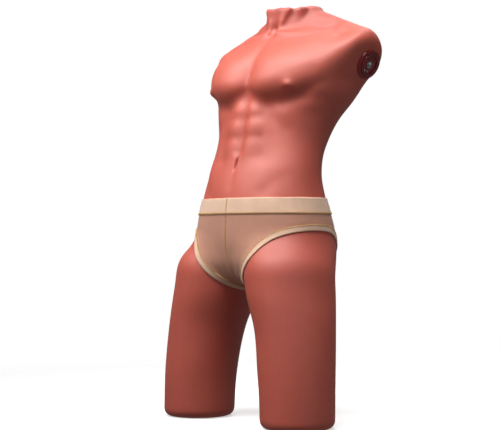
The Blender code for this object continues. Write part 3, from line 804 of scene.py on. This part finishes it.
def elastic_finish(make):
    """Ribbed elastic: close cords with a knitted face."""
    settings = bpy.context.scene.mannequin_briefs
    face = make.weave(0.03, 520.0, 3100.0, 0.65)
    cloud = make.ramp(make.noise(30.0, 4.0), 0.3, 0.7)
    fuzz = make.noise(1500.0, 2.0)
    shade = make.blend(face * 0.65 + cloud * 0.35,
                       solid(settings.elastic, 0.74), solid(settings.elastic, 1.12))
    make.set(Base_Color=shade, Roughness=0.92 - 0.12 * face, Sheen_Weight=0.3, Sheen_Roughness=0.5,
             Normal=make.bump(face * 0.8 + fuzz * 0.2, 0.00035, 0.9))


def thread_finish(make):
    """Twisted gold thread."""
    settings = bpy.context.scene.mannequin_briefs
    x, y, z = make.parts(make.place())
    ply = make.ramp(make.wave((x + y + z) * 5200.0), -1.0, 1.0)
    make.set(Base_Color=make.blend(ply, solid(settings.gold, 0.72), solid(settings.gold, 1.25)),
             Roughness=0.58 - 0.16 * ply, Normal=make.bump(ply, 0.0001, 0.7))


def cap_finish(make):
    """Deep glossy dark red plastic with light scuffs."""
    settings = bpy.context.scene.mannequin_fittings
    scuffs = make.ramp(make.noise(260.0, 4.0, 0.7), 0.52, 0.72)
    depth = make.ramp(make.noise(40.0, 2.0), 0.3, 0.7)
    make.set(Base_Color=make.blend(depth, solid(settings.cap, 0.8), solid(settings.cap, 1.35)),
             Roughness=0.13 + 0.16 * scuffs, Coat_Weight=0.6, Coat_Roughness=0.06,
             Normal=make.bump(scuffs, 0.00004, 0.5))


def steel_finish(make):
    """Satin steel: brushed streaks, and darker where it is handled least."""
    settings = bpy.context.scene.mannequin_fittings
    streaks = make.noise(700.0, 5.0, 0.75)
    stain = make.ramp(make.noise(60.0, 3.0), 0.35, 0.7)
    make.set(Base_Color=make.blend(stain, solid(settings.steel, 0.82), solid(settings.steel, 1.1)),
             Metallic=1.0, Roughness=0.20 + 0.16 * streaks + 0.05 * stain,
             Normal=make.bump(streaks, 0.00003, 0.4))


def foam_finish(make):
    """Open-cell foam: pores of several sizes, with painted shade darkening each pore towards its sunk
    middle.
    """
    cells = make.node("ShaderNodeTexVoronoi", {"feature": "DISTANCE_TO_EDGE"},
                      {"Vector": make.place(), "Scale": 420.0})
    pore_depth_and_shade = make.ramp(cells, 0.02, 0.20)
    cloud = make.ramp(make.noise(12.0, 3.0), 0.3, 0.7)
    # Painted shade: the pores' sunk middles are coloured darker.
    make.set(Base_Color=make.blend(pore_depth_and_shade * 0.7 + cloud * 0.3, (0.78, 0.70, 0.44, 1), (0.55, 0.47, 0.26, 1)),
             Roughness=0.96 - 0.06 * pore_depth_and_shade, Normal=make.bump(1 - pore_depth_and_shade, 0.0006, 0.8))


def gel_finish(make):
    """Solid soft rubber: cloudy and slightly tacky."""
    cloud = make.ramp(make.noise(18.0, 4.0), 0.3, 0.7)
    grain = make.noise(600.0, 3.0)
    make.set(Base_Color=make.blend(cloud, (0.44, 0.15, 0.10, 1), (0.55, 0.22, 0.16, 1)),
             Roughness=0.50 + 0.14 * grain, Normal=make.bump(grain, 0.0002, 0.5))


SLOT_FINISHES = {"skin": skin_finish, "foam": foam_finish, "gel": gel_finish, "steel": steel_finish,
                 "cap": cap_finish, "elastic": elastic_finish, "knit": knit_finish}


def slot_material(name):
    """The finish of one of the record's material slots."""
    return finish(name, SLOT_FINISHES[name])


def dress(item, slot_name, body=None, nodes=()):
    """Finish a piece: its material, slot, body and the plain solids that it stands for."""
    paint(item, slot_material(slot_name))
    if body:
        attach(item, body)
    if nodes:
        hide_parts(*nodes)
    return item


# ---- the skin ----
BODY_MESH = "whole_body"
NET_ROOM = 0.012


def whole_body():
    """The body's mesh, made once and cut into the pieces that need it."""
    mesh = bpy.data.meshes.get(BODY_MESH)
    if mesh is None:
        settings = bpy.context.scene.mannequin_skin
        room = Vector((NET_ROOM, NET_ROOM, NET_ROOM))
        points, faces = surface_net(base_field, CAD_LOW - room, CAD_HIGH + room, settings.cell)
        item = mesh_object(BODY_MESH, points, faces)
        mesh = item.data
        bpy.data.objects.remove(item)
        mesh.name = BODY_MESH
        field = skin_field(settings.muscle)
        set_points(mesh, settle(get_points(mesh), field))
        refine(mesh, settings.fine_cell)
        points = settle(get_points(mesh), field)
        set_points(mesh, points + unit(slope_of(field, points)) * fine_relief(points)[:, None])
        mesh.use_fake_user = True
    return mesh


SEAM_UNDER_BAND = -0.006
HIP_BEND_LENGTH = 0.105


class MANNEQUIN_OT_skin(Operator):
    """Build the torso's skin and both thighs"""
    bl_idname = "mannequin.skin"
    bl_label = "Skin"

    def execute(self, context):
        body = whole_body()
        both = [leg_plane(side, SEAM_UNDER_BAND) for side, _ in SIDES]
        torso = link("torso_skin", sliced(body, "torso_skin", both))
        dress(torso, "skin", nodes=("chest_skin", "waist_flex_band", "pelvis_skin"))
        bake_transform(torso)
        for side, word in SIDES:
            spot, normal = leg_plane(side, SEAM_UNDER_BAND)
            planes = [(spot, -normal), (Vector(), Vector((-side, 0, 0)))]
            thigh = link(f"{word}_thigh", sliced(body, f"{word}_thigh", planes))
            dress(thigh, "skin", nodes=(f"{word}_thigh_skin", f"{word}_hip_flex_band"))
            start, end = (leg_plane(side, below)[0] for below in (0.0, HIP_BEND_LENGTH))
            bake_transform(thigh)
        return {"FINISHED"}


# ---- the briefs ----
def waist_loop(height, count=420):
    """Points round the waist at one height, on the cloth's shape."""
    turn = np.linspace(0, 2 * np.pi, count, endpoint=False)
    half, front, back = (float(value) for value in row_values(TORSO_ROWS, height)[:3])
    middle, depth = (front + back) / 2, (back - front) / 2
    start = np.column_stack((half * np.sin(turn), middle - depth * np.cos(turn), np.full(count, height)))
    return settle(start, cloth_field, flat=True)


def leg_loop(side, count=360):
    """Points where one leg line meets the cloth's shape, found by halving along rays."""
    spot, normal = leg_plane(side, 0.0)
    centre = Vector((side * LEG_MIDDLE[0], LEG_MIDDLE[1], 0.0))
    centre.z = spot.z - normal.x * (centre.x - spot.x) / normal.z
    outward = Vector((-normal.z * side, 0.0, normal.x * side))
    turn = np.linspace(0, 2 * np.pi, count, endpoint=False)
    rays = np.outer(-np.cos(turn), (0, 1, 0)) + np.outer(np.sin(turn), tuple(outward.normalized()))
    near, far = (np.full(count, reach) for reach in LEG_REACH)
    for _ in range(HALVINGS):
        middle = (near + far) / 2
        outside = cloth_field(np.array(centre) + rays * middle[:, None]) > 0.0
        far = np.where(outside, middle, far)
        near = np.where(outside, near, middle)
    loop = np.array(centre) + rays * ((near + far) / 2)[:, None]
    loop[:, 2] += leg_arch(loop)
    return settle(loop, cloth_field)


def walk(points, side, step):
    """Move a loop over the cloth's shape, away from the thigh."""
    slopes = unit(slope_of(cloth_field, points))
    ahead = np.roll(points, -1, axis=0) - np.roll(points, 1, axis=0)
    sideways = unit(np.cross(slopes, unit(ahead)))
    away = -np.array((side * LEG_NORMAL.x, 0.0, LEG_NORMAL.z))
    sideways *= np.sign(sideways @ away)[:, None]
    return settle(points + sideways * step, cloth_field, rounds=3)


WAIST_ROWS, WAIST_RIBS = 27, 8
LEG_ROWS, LEG_RIBS = 14, 4
BAND_EDGE = 0.0008
RIB_RISE = 0.00008
BAND_INSIDE = 0.0005


def band_ring(name, lines, rise, ribs):
    """A closed band from loops on the skin: ribbed outside, rounded edges, flat inside."""
    normals = [unit(slope_of(cloth_field, line)) for line in lines]
    last = len(lines) - 1
    outer = []
    for k, (line, normal) in enumerate(zip(lines, normals)):
        from_edge = min(k, last - k) / 2.0
        rib = RIB_RISE * math.cos(2 * math.pi * ribs * k / last)
        outer.append(line + normal * (rise - BAND_EDGE * max(0.0, 1 - from_edge) ** 2 + rib))
    inner = [line + normal * BAND_INSIDE for line, normal in zip(lines[::-last], normals[::-last])]
    return ring_mesh(name, outer + inner)


THREAD_RINGS = 7
THREAD_SIDES = 6
STITCH_LEAN = 0.42


def stitch_row(name, path, outward, settings, width, closed=True):
    """A row of slanting stitches along a path, each a short bowed length of thread."""
    points, faces = [], []
    steps = np.linalg.norm(np.diff(path, axis=0, append=path[:1] if closed else path[-1:]), axis=1)
    length = np.concatenate(([0.0], np.cumsum(steps)))
    total = length[-1] if closed else length[-2]
    count = max(2, int(total / settings.stitch))
    marks = (np.arange(count) + 0.5) * total / count
    wrapped = np.vstack((path, path[:1]))
    wrapped_out = np.vstack((outward, outward[:1]))
    spots = np.column_stack([np.interp(marks, length, wrapped[:, k]) for k in range(3)])
    ahead = np.column_stack([np.interp(marks + 0.001, length, wrapped[:, k]) for k in range(3)]) - spots
    normals = unit(np.column_stack([np.interp(marks, length, wrapped_out[:, k]) for k in range(3)]))
    ahead = unit(ahead - np.einsum("ij,ij->i", ahead, normals)[:, None] * normals)
    sideways = np.cross(normals, ahead)
    rings, sides = THREAD_RINGS, THREAD_SIDES
    for k, (spot, along, side, out) in enumerate(zip(spots, ahead, sideways, normals)):
        lean = 1 if k % 2 else -1
        run = along * settings.stitch * STITCH_LEAN * lean + side * width / 2
        base = len(points)
        for ring in range(rings):
            t = ring / (rings - 1) * 2 - 1
            bow = settings.thread * (1.1 - 0.9 * t**4)
            radius = settings.thread * math.sqrt(max(0.12, 1 - t**8))
            centre = spot + run * t + out * bow
            first = np.cross(run / np.linalg.norm(run), out)
            for j in range(sides):
                turn = 2 * math.pi * j / sides
                points.append(centre + radius * (math.cos(turn) * first + math.sin(turn) * out))
        for ring in range(rings - 1):
            for j in range(sides):
                low, high = base + ring * sides, base + (ring + 1) * sides
                faces.append((low + j, low + (j + 1) % sides, high + (j + 1) % sides, high + j))
        faces.append(tuple(base + j for j in reversed(range(sides))))
        faces.append(tuple(base + (rings - 1) * sides + j for j in range(sides)))
    item = mesh_object(name, points, faces)
    paint(item, finish("gold_thread", thread_finish))
    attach(item, "pelvis")
    return item


# Pulls in the knit: rise, and where each kind is strongest and how far it spreads.
FAN_RISE, FAN_FROM, FAN_COUNT = 0.0007, 0.275, 17
FAN_SPOT, FAN_SPREAD = 0.315, 0.040
SIDE_RISE, SIDE_SPOT, SIDE_SPREAD = 0.0005, (0.150, 0.425), (0.022, 0.020)


def cloth_wrinkles(points):
    """Shallow pulls in the knit that fan out from the crotch, and small ones at the hips."""
    x, y, z = np.abs(points[:, 0]), points[:, 1], points[:, 2]
    fan = np.sin(np.arctan2(x, z - FAN_FROM) * FAN_COUNT + 1.0)
    low = np.exp(-(((z - FAN_SPOT) / FAN_SPREAD) ** 2))
    side = np.exp(-(((x - SIDE_SPOT[0]) / SIDE_SPREAD[0]) ** 2))
    side = side * np.exp(-(((z - SIDE_SPOT[1]) / SIDE_SPREAD[1]) ** 2))
    return FAN_RISE * low * fan + SIDE_RISE * side * np.sin(z * 900 + y * 60)


# How far the knit runs under the leg bands and the waistband, and its least rise.
UNDER_LEG_BAND, UNDER_WAISTBAND, KNIT_RISE = 0.009, 0.004, 0.0004
# Widths of the stitching, how deep it sinks in the bands, and where the front seam ends.
WAIST_STITCH, BAND_STITCH, SEAM_STITCH = 0.0040, 0.0034, 0.0028
WAIST_SINK, FRONT_SINK, LEG_SINK = 0.0002, 0.0001, 0.0006
SEAM_END = 0.315
LEG_BAND_LOWER = 0.0004


def knit_panel(settings):
    """The knit from the waistband to the leg bands, in one stretched sheet."""
    planes = [leg_plane(side, -UNDER_LEG_BAND) for side, _ in SIDES]
    planes.append((Vector((0, 0, BAND_LOW + UNDER_WAISTBAND)), Vector((0, 0, 1))))
    mesh = sliced(whole_body(), "brief_panel_knit", planes)
    points = settle(get_points(mesh), cloth_field, settings.cloth_gap)
    normals = unit(slope_of(cloth_field, points))
    set_points(mesh, points + normals * (cloth_wrinkles(points) + KNIT_RISE)[:, None])
    panel = link("brief_panel_knit", mesh)
    thicken(panel, settings.cloth)
    return dress(panel, "knit", "pelvis", ("brief_panel", "crotch_gusset"))


class MANNEQUIN_OT_briefs(Operator):
    """Build the briefs: knit, waistband, leg bands and stitching"""
    bl_idname = "mannequin.briefs"
    bl_label = "Briefs"

    def execute(self, context):
        settings = context.scene.mannequin_briefs
        panel = knit_panel(settings)
        heights = [BAND_LOW + (BAND_HIGH - BAND_LOW) * k / (WAIST_ROWS - 1) for k in range(WAIST_ROWS)]
        lines = [waist_loop(height) for height in heights]
        waistband = band_ring("waistband_elastic", lines, settings.band_rise, WAIST_RIBS)
        dress(waistband, "elastic", "pelvis", ("waistband",))
        trims = [waistband]
        outward = unit(slope_of(cloth_field, lines[2]))
        edge = lines[2] + outward * (settings.band_rise - WAIST_SINK)
        trims.append(stitch_row("waistband_stitches", edge, outward, settings, WAIST_STITCH))
        trims += self.front_seam(settings, lines)
        for side, word in SIDES:
            trims += self.leg_band(settings, side, word)
        girth = float(np.linalg.norm(np.diff(lines[0], axis=0, append=lines[0][:1]), axis=1).sum())
        sheet_area(panel)
        return {"FINISHED"}

    def front_seam(self, settings, lines):
        """Upright stitching on the waistband and down the front of the knit."""
        path = np.array([line[0] for line in lines[1:-1]])
        outward = unit(slope_of(cloth_field, path))
        edge = path + outward * (settings.band_rise - FRONT_SINK)
        upright = stitch_row("waistband_front_stitches", edge, outward, settings, BAND_STITCH, closed=False)
        heights = np.linspace(BAND_LOW - 0.001, SEAM_END, 60)
        front = np.interp(heights, TORSO_ROWS[:, 0], TORSO_ROWS[:, 2])
        start = np.column_stack((np.full(60, 0.0001), front, heights))
        level = settings.cloth_gap + settings.cloth + KNIT_RISE
        seam = settle(start, cloth_field, level, 5, flat=True)
        outward = unit(slope_of(cloth_field, seam))
        lower = stitch_row("front_seam_stitches", seam, outward, settings, SEAM_STITCH, closed=False)
        return [upright, lower]

    def leg_band(self, settings, side, word):
        """One leg band and its stitching."""
        lines = [leg_loop(side)]
        for _ in range(LEG_ROWS):
            lines.append(walk(lines[-1], side, settings.leg_band / LEG_ROWS))
        if side < 0:
            lines = [each[::-1] for each in lines]
        rise = settings.band_rise - LEG_BAND_LOWER
        band = band_ring(f"{word}_leg_band_elastic", lines, rise, LEG_RIBS)
        dress(band, "elastic", "pelvis", (f"{word}_leg_band",))
        outward = unit(slope_of(cloth_field, lines[-2]))
        edge = lines[-2] + outward * (settings.band_rise - LEG_SINK)
        return [band, stitch_row(f"{word}_leg_stitches", edge, outward, settings, BAND_STITCH)]


def sheet_area(item):
    """Half of a thin sheet's surface, which is its cloth's area."""
    return sum(face.area for face in item.data.polygons) / 2


# ---- shoulder fittings ----
def stump_frame(side):
    """Axes of a shoulder stump: X down its face, Y back, Z outward."""
    outward = Vector((side * math.cos(STUMP_TILT), 0, -math.sin(STUMP_TILT)))
    down = Vector((-side * math.sin(STUMP_TILT), 0, -math.cos(STUMP_TILT)))
    turn = Matrix((down, outward.cross(down), outward)).transposed().to_4x4()
    return Matrix.Translation((side * STUMP.x, STUMP.y, STUMP.z)) @ turn


def turned_piece(name, profile, place, sides):
    """A closed piece turned about a local axis from (radius, height) points, or a ring if it has a hole."""
    turn = np.linspace(0, 2 * np.pi, sides, endpoint=False)
    hole = profile[0][0] > 0
    loops = [np.column_stack((r * np.cos(turn), r * np.sin(turn), np.full(sides, h)))
             for r, h in profile if r > 0]
    item = ring_mesh(name, loops, closed_profile=hole)
    with edited(item.data) as work:
        if not hole:
            bmesh.ops.holes_fill(work, edges=[edge for edge in work.edges if edge.is_boundary])
        bmesh.ops.recalc_face_normals(work, faces=work.faces)
    item.data.shade_smooth()
    item.data.transform(place)
    item.data.set_sharp_from_angle(angle=SHARP_ANGLE)
    return item


def rounded(radius, height, round_over, steps=6):
    """Profile points of an outer edge rounded over at the top."""
    turns = [math.radians(90 * k / steps) for k in range(steps + 1)]
    return [(radius - round_over + round_over * math.cos(t), height - round_over + round_over * math.sin(t))
            for t in turns]


def domed(radius, low, rise, step):
    """Profile points of a dome, one for every few degrees."""
    turns = [math.radians(degrees) for degrees in range(0, 90, step)]
    return [(radius * math.cos(t), low + rise * math.sin(t)) for t in turns]


def cut_by(item, cutters):
    """Cut shapes out of a piece."""
    for cutter in cutters:
        modifier = item.modifiers.new("Cut", "BOOLEAN")
        modifier.operation = "DIFFERENCE"
        modifier.object = cutter
    apply_modifiers(item)
    for cutter in cutters:
        bpy.data.objects.remove(cutter)
    item.data.set_sharp_from_angle(angle=SHARP_ANGLE)


CAP_RADIUS = 0.033
CAP_TOP = 0.004
CAP_FACE = CAP_TOP - 0.0003
CAP_SEAT = -0.0077
SLOT_TURN = 0.35
SCREW_SPOTS = ((0.0140, -0.0090), (0.0155, 0.0010))


class MANNEQUIN_OT_fittings(Operator):
    """Build the cap, ring, washer, bolt and screws of both shoulders"""
    bl_idname = "mannequin.fittings"
    bl_label = "Shoulder fittings"

    def execute(self, context):
        sides = context.scene.mannequin_fittings.sides
        for side, word in SIDES:
            place = stump_frame(side)
            self.cap(word, place, sides)
            self.bolt(word, place, sides)
            for number, (down, back) in enumerate(SCREW_SPOTS, start=1):
                spot = place @ Matrix.Translation((down, side * back, 0))
                self.screw(f"{word}_shoulder_screw_{number}", spot)
        return {"FINISHED"}

    def cap(self, word, place, sides):
        """The dished cap and the raised ring on it."""
        hole, floor = 0.0036, CAP_TOP - 0.0006
        dish = [(0.0250, CAP_TOP), (0.0244, floor), (0.0100, floor), (hole, floor)]
        profile = [(hole, CAP_SEAT), (CAP_RADIUS, CAP_SEAT), (CAP_RADIUS, 0.0),
                   *rounded(CAP_RADIUS, CAP_TOP, 0.0028), *dish]
        cap = turned_piece(f"{word}_shoulder_cap_disc", profile, place, sides)
        dress(cap, "cap", "chest", (f"{word}_shoulder_cap",))
        low, high, inner, outer = CAP_FACE, CAP_FACE + 0.0022, 0.0206, 0.0240
        profile = [(inner, low), (outer, low), *rounded(outer, high, 0.0010, 4), (0.0212, high),
                   (inner, CAP_FACE + 0.0016)]
        ring = turned_piece(f"{word}_shoulder_cap_ring", profile, place, sides)
        dress(ring, "cap", "chest", (f"{word}_shoulder_ring",))

    def bolt(self, word, place, sides):
        """The domed bolt with its hexagon socket, and its washer."""
        low, high, inner, outer = CAP_FACE, CAP_FACE + 0.0012, 0.0034, 0.0082
        profile = [(inner, low), (outer, low), *rounded(outer, high, 0.0004, 3), (inner, high)]
        washer = turned_piece(f"{word}_shoulder_washer_disc", profile, place, sides)
        dress(washer, "steel", "chest", (f"{word}_shoulder_washer",))
        seat, shank, foot, head = CAP_FACE + 0.0013, 0.0030, -0.02, 0.0058
        profile = [(0, foot), (shank, foot), (shank, seat), (head, seat),
                   *domed(head, seat + 0.0010, 0.0034, 10), (0, seat + 0.0044)]
        bolt = turned_piece(f"{word}_shoulder_bolt_head", profile, place, sides)
        low, high, across = seat + 0.0022, seat + 0.008, 0.0021
        socket = turned_piece("socket", [(0, low), (across, low), (across, high), (0, high)], place, 6)
        cut_by(bolt, [socket])
        dress(bolt, "steel", "chest", (f"{word}_shoulder_bolt",))

    def screw(self, name, place):
        """A small pan-head screw with a cross slot."""
        seat, shank, foot, head = CAP_TOP - 0.0005, 0.0013, -0.006, 0.0027
        top = seat + 0.0018
        profile = [(0, foot), (shank, foot), (shank, seat), (head, seat),
                   *domed(head, seat + 0.0004, 0.0014, 15), (0, top)]
        item = turned_piece(f"{name}_head", profile, place, 48)
        slots = []
        for turn in (SLOT_TURN, SLOT_TURN + math.pi / 2):
            mesh = bpy.data.meshes.new("slot")
            size = Matrix.Diagonal((0.0034, 0.0006, 0.0014, 1))
            spot = place @ Matrix.Translation((0, 0, top)) @ Matrix.Rotation(turn, 4, "Z") @ size
            with edited(mesh) as work:
                bmesh.ops.create_cube(work, size=1.0, matrix=spot)
            slots.append(link("slot", mesh))
        cut_by(item, slots)
        dress(item, "steel", "chest", (name,))


CORE_UNDER_SKIN = 0.003


def chest_foam():
    """The chest core, with every point at least a little way under the skin."""
    core = frame["nodes"]["chest_core"]
    mesh = core.data.copy()
    mesh.transform(core.matrix_world)
    field = skin_field(bpy.context.scene.mannequin_skin.muscle)
    points = get_points(mesh)
    proud = field(points) > -CORE_UNDER_SKIN
    points[proud] = settle(points[proud], field, -CORE_UNDER_SKIN)
    set_points(mesh, points)
    return dress(link("chest_foam", mesh), "foam", "chest", ("chest_core",))


class MANNEQUIN_OT_inside(Operator):
    """Finish the frame and the cores"""
    bl_idname = "mannequin.inside"
    bl_label = "Frame and cores"

    def execute(self, context):
        slots = {part["node"]: part["material_slot"] for part in frame["record"]["subparts"]}
        for name, item in frame["nodes"].items():
            if not item.hide_render:
                paint(item, slot_material(slots[name]))
        chest_foam()
        return {"FINISHED"}


# ---- camera, lights and floor ----
CAMERA_SIDE = -0.054
CAMERA_AIM = 0.4452
# Lights: size, height of the aim, azimuth, elevation, distance, spread, tint.
LIGHTS = {
    "key": (1.5, 0.80, -24, 44, 1.9, 64, (1.0, 0.985, 0.97)),
    "fill": (1.6, 0.45, 84, 8, 3.0, 180, (1.0, 0.98, 0.96)),
    "top": (1.1, 0.80, 34, 62, 1.6, 62, (1.0, 0.99, 0.98)),
    "rim": (1.2, 0.80, 190, 58, 2.4, 90, (1.0, 1.0, 1.0)),
}
FLOOR_HALF = 2.4
FLOOR_DROP = 0.0005
FLOOR_FADE = (0.55, 1.5)
FLOOR_GLOW = 0.52


class MANNEQUIN_OT_stage(Operator):
    """Set up the camera, lights, floor and surroundings"""
    bl_idname = "mannequin.stage"
    bl_label = "Stage"

    def execute(self, context):
        settings = context.scene.mannequin_stage
        self.camera(context, settings)
        powers = {"key": settings.key, "fill": settings.fill, "top": settings.top, "rim": settings.fill}
        for name, place in LIGHTS.items():
            self.light(name, powers[name], *place)
        self.floor()
        self.surroundings(context, settings)
        return {"FINISHED"}

    def camera(self, context, settings):
        """The camera, aimed a little to the mannequin's right of its middle."""
        turn = settings.azimuth
        back = Vector((math.sin(turn), -math.cos(turn), 0))
        right = Vector((math.cos(turn), math.sin(turn), 0))
        middle = right * CAMERA_SIDE
        aim = middle + Vector((0, 0, CAMERA_AIM))
        data = bpy.data.cameras.new("camera")
        data.lens = settings.lens
        camera = link("camera", data)
        camera.location = middle + back * settings.distance + Vector((0, 0, settings.eye))
        camera.rotation_euler = (aim - camera.location).to_track_quat("-Z", "Y").to_euler()
        context.scene.camera = camera

    def light(self, name, power, size, height, azimuth, elevation, distance, spread, tint):
        """One soft square light, placed by angles in degrees round a point on the middle line."""
        data = bpy.data.lights.new(name, "AREA")
        data.spread = math.radians(spread)
        data.energy = power
        data.size = size
        data.color = tint
        item = link(name, data)
        aim = Vector((0, 0, height))
        turn, rise = math.radians(azimuth), math.radians(elevation)
        away = Vector((math.sin(turn) * math.cos(rise), -math.cos(turn) * math.cos(rise), math.sin(rise)))
        item.location = aim + distance * away
        item.rotation_euler = (aim - item.location).to_track_quat("-Z", "Y").to_euler()

    def floor(self):
        """A pale floor with a soft mottle."""
        corners = [(x * FLOOR_HALF, y * FLOOR_HALF, 0) for x, y in ((-1, -1), (1, -1), (1, 1), (-1, 1))]
        floor = mesh_object("floor", corners, [(0, 1, 2, 3)])
        make = Finish("pale_floor")
        cloud = make.noise(1.5, 3.0)
        reach = make.node("ShaderNodeVectorMath", {"operation": "LENGTH"}, {0: make.place()}, output=1)
        make.set(Base_Color=make.blend(cloud, (0.88, 0.88, 0.88, 1), (0.92, 0.92, 0.92, 1)),
                 Roughness=0.75 + 0.1 * cloud, Alpha=1 - make.ramp(reach, *FLOOR_FADE),
                 Emission_Color=(1.0, 1.0, 1.0, 1.0), Emission_Strength=FLOOR_GLOW)
        paint(floor, make.material)
        floor.location.z = -FLOOR_DROP
        floor.visible_diffuse = False
        floor.visible_glossy = False
        floor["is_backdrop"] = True

    def surroundings(self, context, settings):
        """A bright surrounding that lights the mannequin only softly."""
        world = bpy.data.worlds.new("surroundings")
        world.use_nodes = True
        tree = world.node_tree
        background = tree.nodes["Background"]
        background.inputs["Color"].default_value = (1.0, 1.0, 1.0, 1.0)
        path = tree.nodes.new("ShaderNodeLightPath")
        strength = tree.nodes.new("ShaderNodeMapRange")
        strength.inputs["To Min"].default_value = settings.ambient
        strength.inputs["To Max"].default_value = 1.0
        tree.links.new(path.outputs["Is Camera Ray"], strength.inputs["Value"])
        tree.links.new(strength.outputs[0], background.inputs["Strength"])
        context.scene.world = world
        context.scene.view_settings.view_transform = "Standard"


class MANNEQUIN_PT_panel(Panel):
    """Buttons and settings of the mannequin"""
    bl_label = "Torso mannequin"
    bl_idname = "MANNEQUIN_PT_panel"
    bl_space_type = "VIEW_3D"
    bl_region_type = "UI"
    bl_category = "Mannequin"

    def draw(self, context):
        for operator in OPERATORS:
            self.layout.operator(operator.bl_idname)
        for name in SETTINGS:
            group = getattr(context.scene, name)
            for prop in group.bl_rna.properties:
                if prop.identifier not in ("rna_type", "name"):
                    self.layout.prop(group, prop.identifier)


SETTINGS = {
    "mannequin_skin": SkinSettings,
    "mannequin_briefs": BriefsSettings,
    "mannequin_fittings": FittingSettings,
    "mannequin_stage": StageSettings,
}
OPERATORS = (MANNEQUIN_OT_stage, MANNEQUIN_OT_skin, MANNEQUIN_OT_briefs, MANNEQUIN_OT_fittings,
             MANNEQUIN_OT_inside)


def register():
    """Register the settings, the operators and the panel."""
    for name, group in SETTINGS.items():
        bpy.utils.register_class(group)
        setattr(bpy.types.Scene, name, PointerProperty(type=group))
    for item in (*OPERATORS, MANNEQUIN_PT_panel):
        bpy.utils.register_class(item)


def unregister():
    """Take everything back out."""
    for item in (MANNEQUIN_PT_panel, *reversed(OPERATORS)):
        bpy.utils.unregister_class(item)
    for name, group in SETTINGS.items():
        delattr(bpy.types.Scene, name)
        bpy.utils.unregister_class(group)


def main():
    """Build everything."""
    register()
    bpy.ops.mannequin.stage()
    bpy.ops.mannequin.skin()
    bpy.ops.mannequin.briefs()
    bpy.ops.mannequin.fittings()
    bpy.ops.mannequin.inside()


if __name__ == "__main__":
    main()
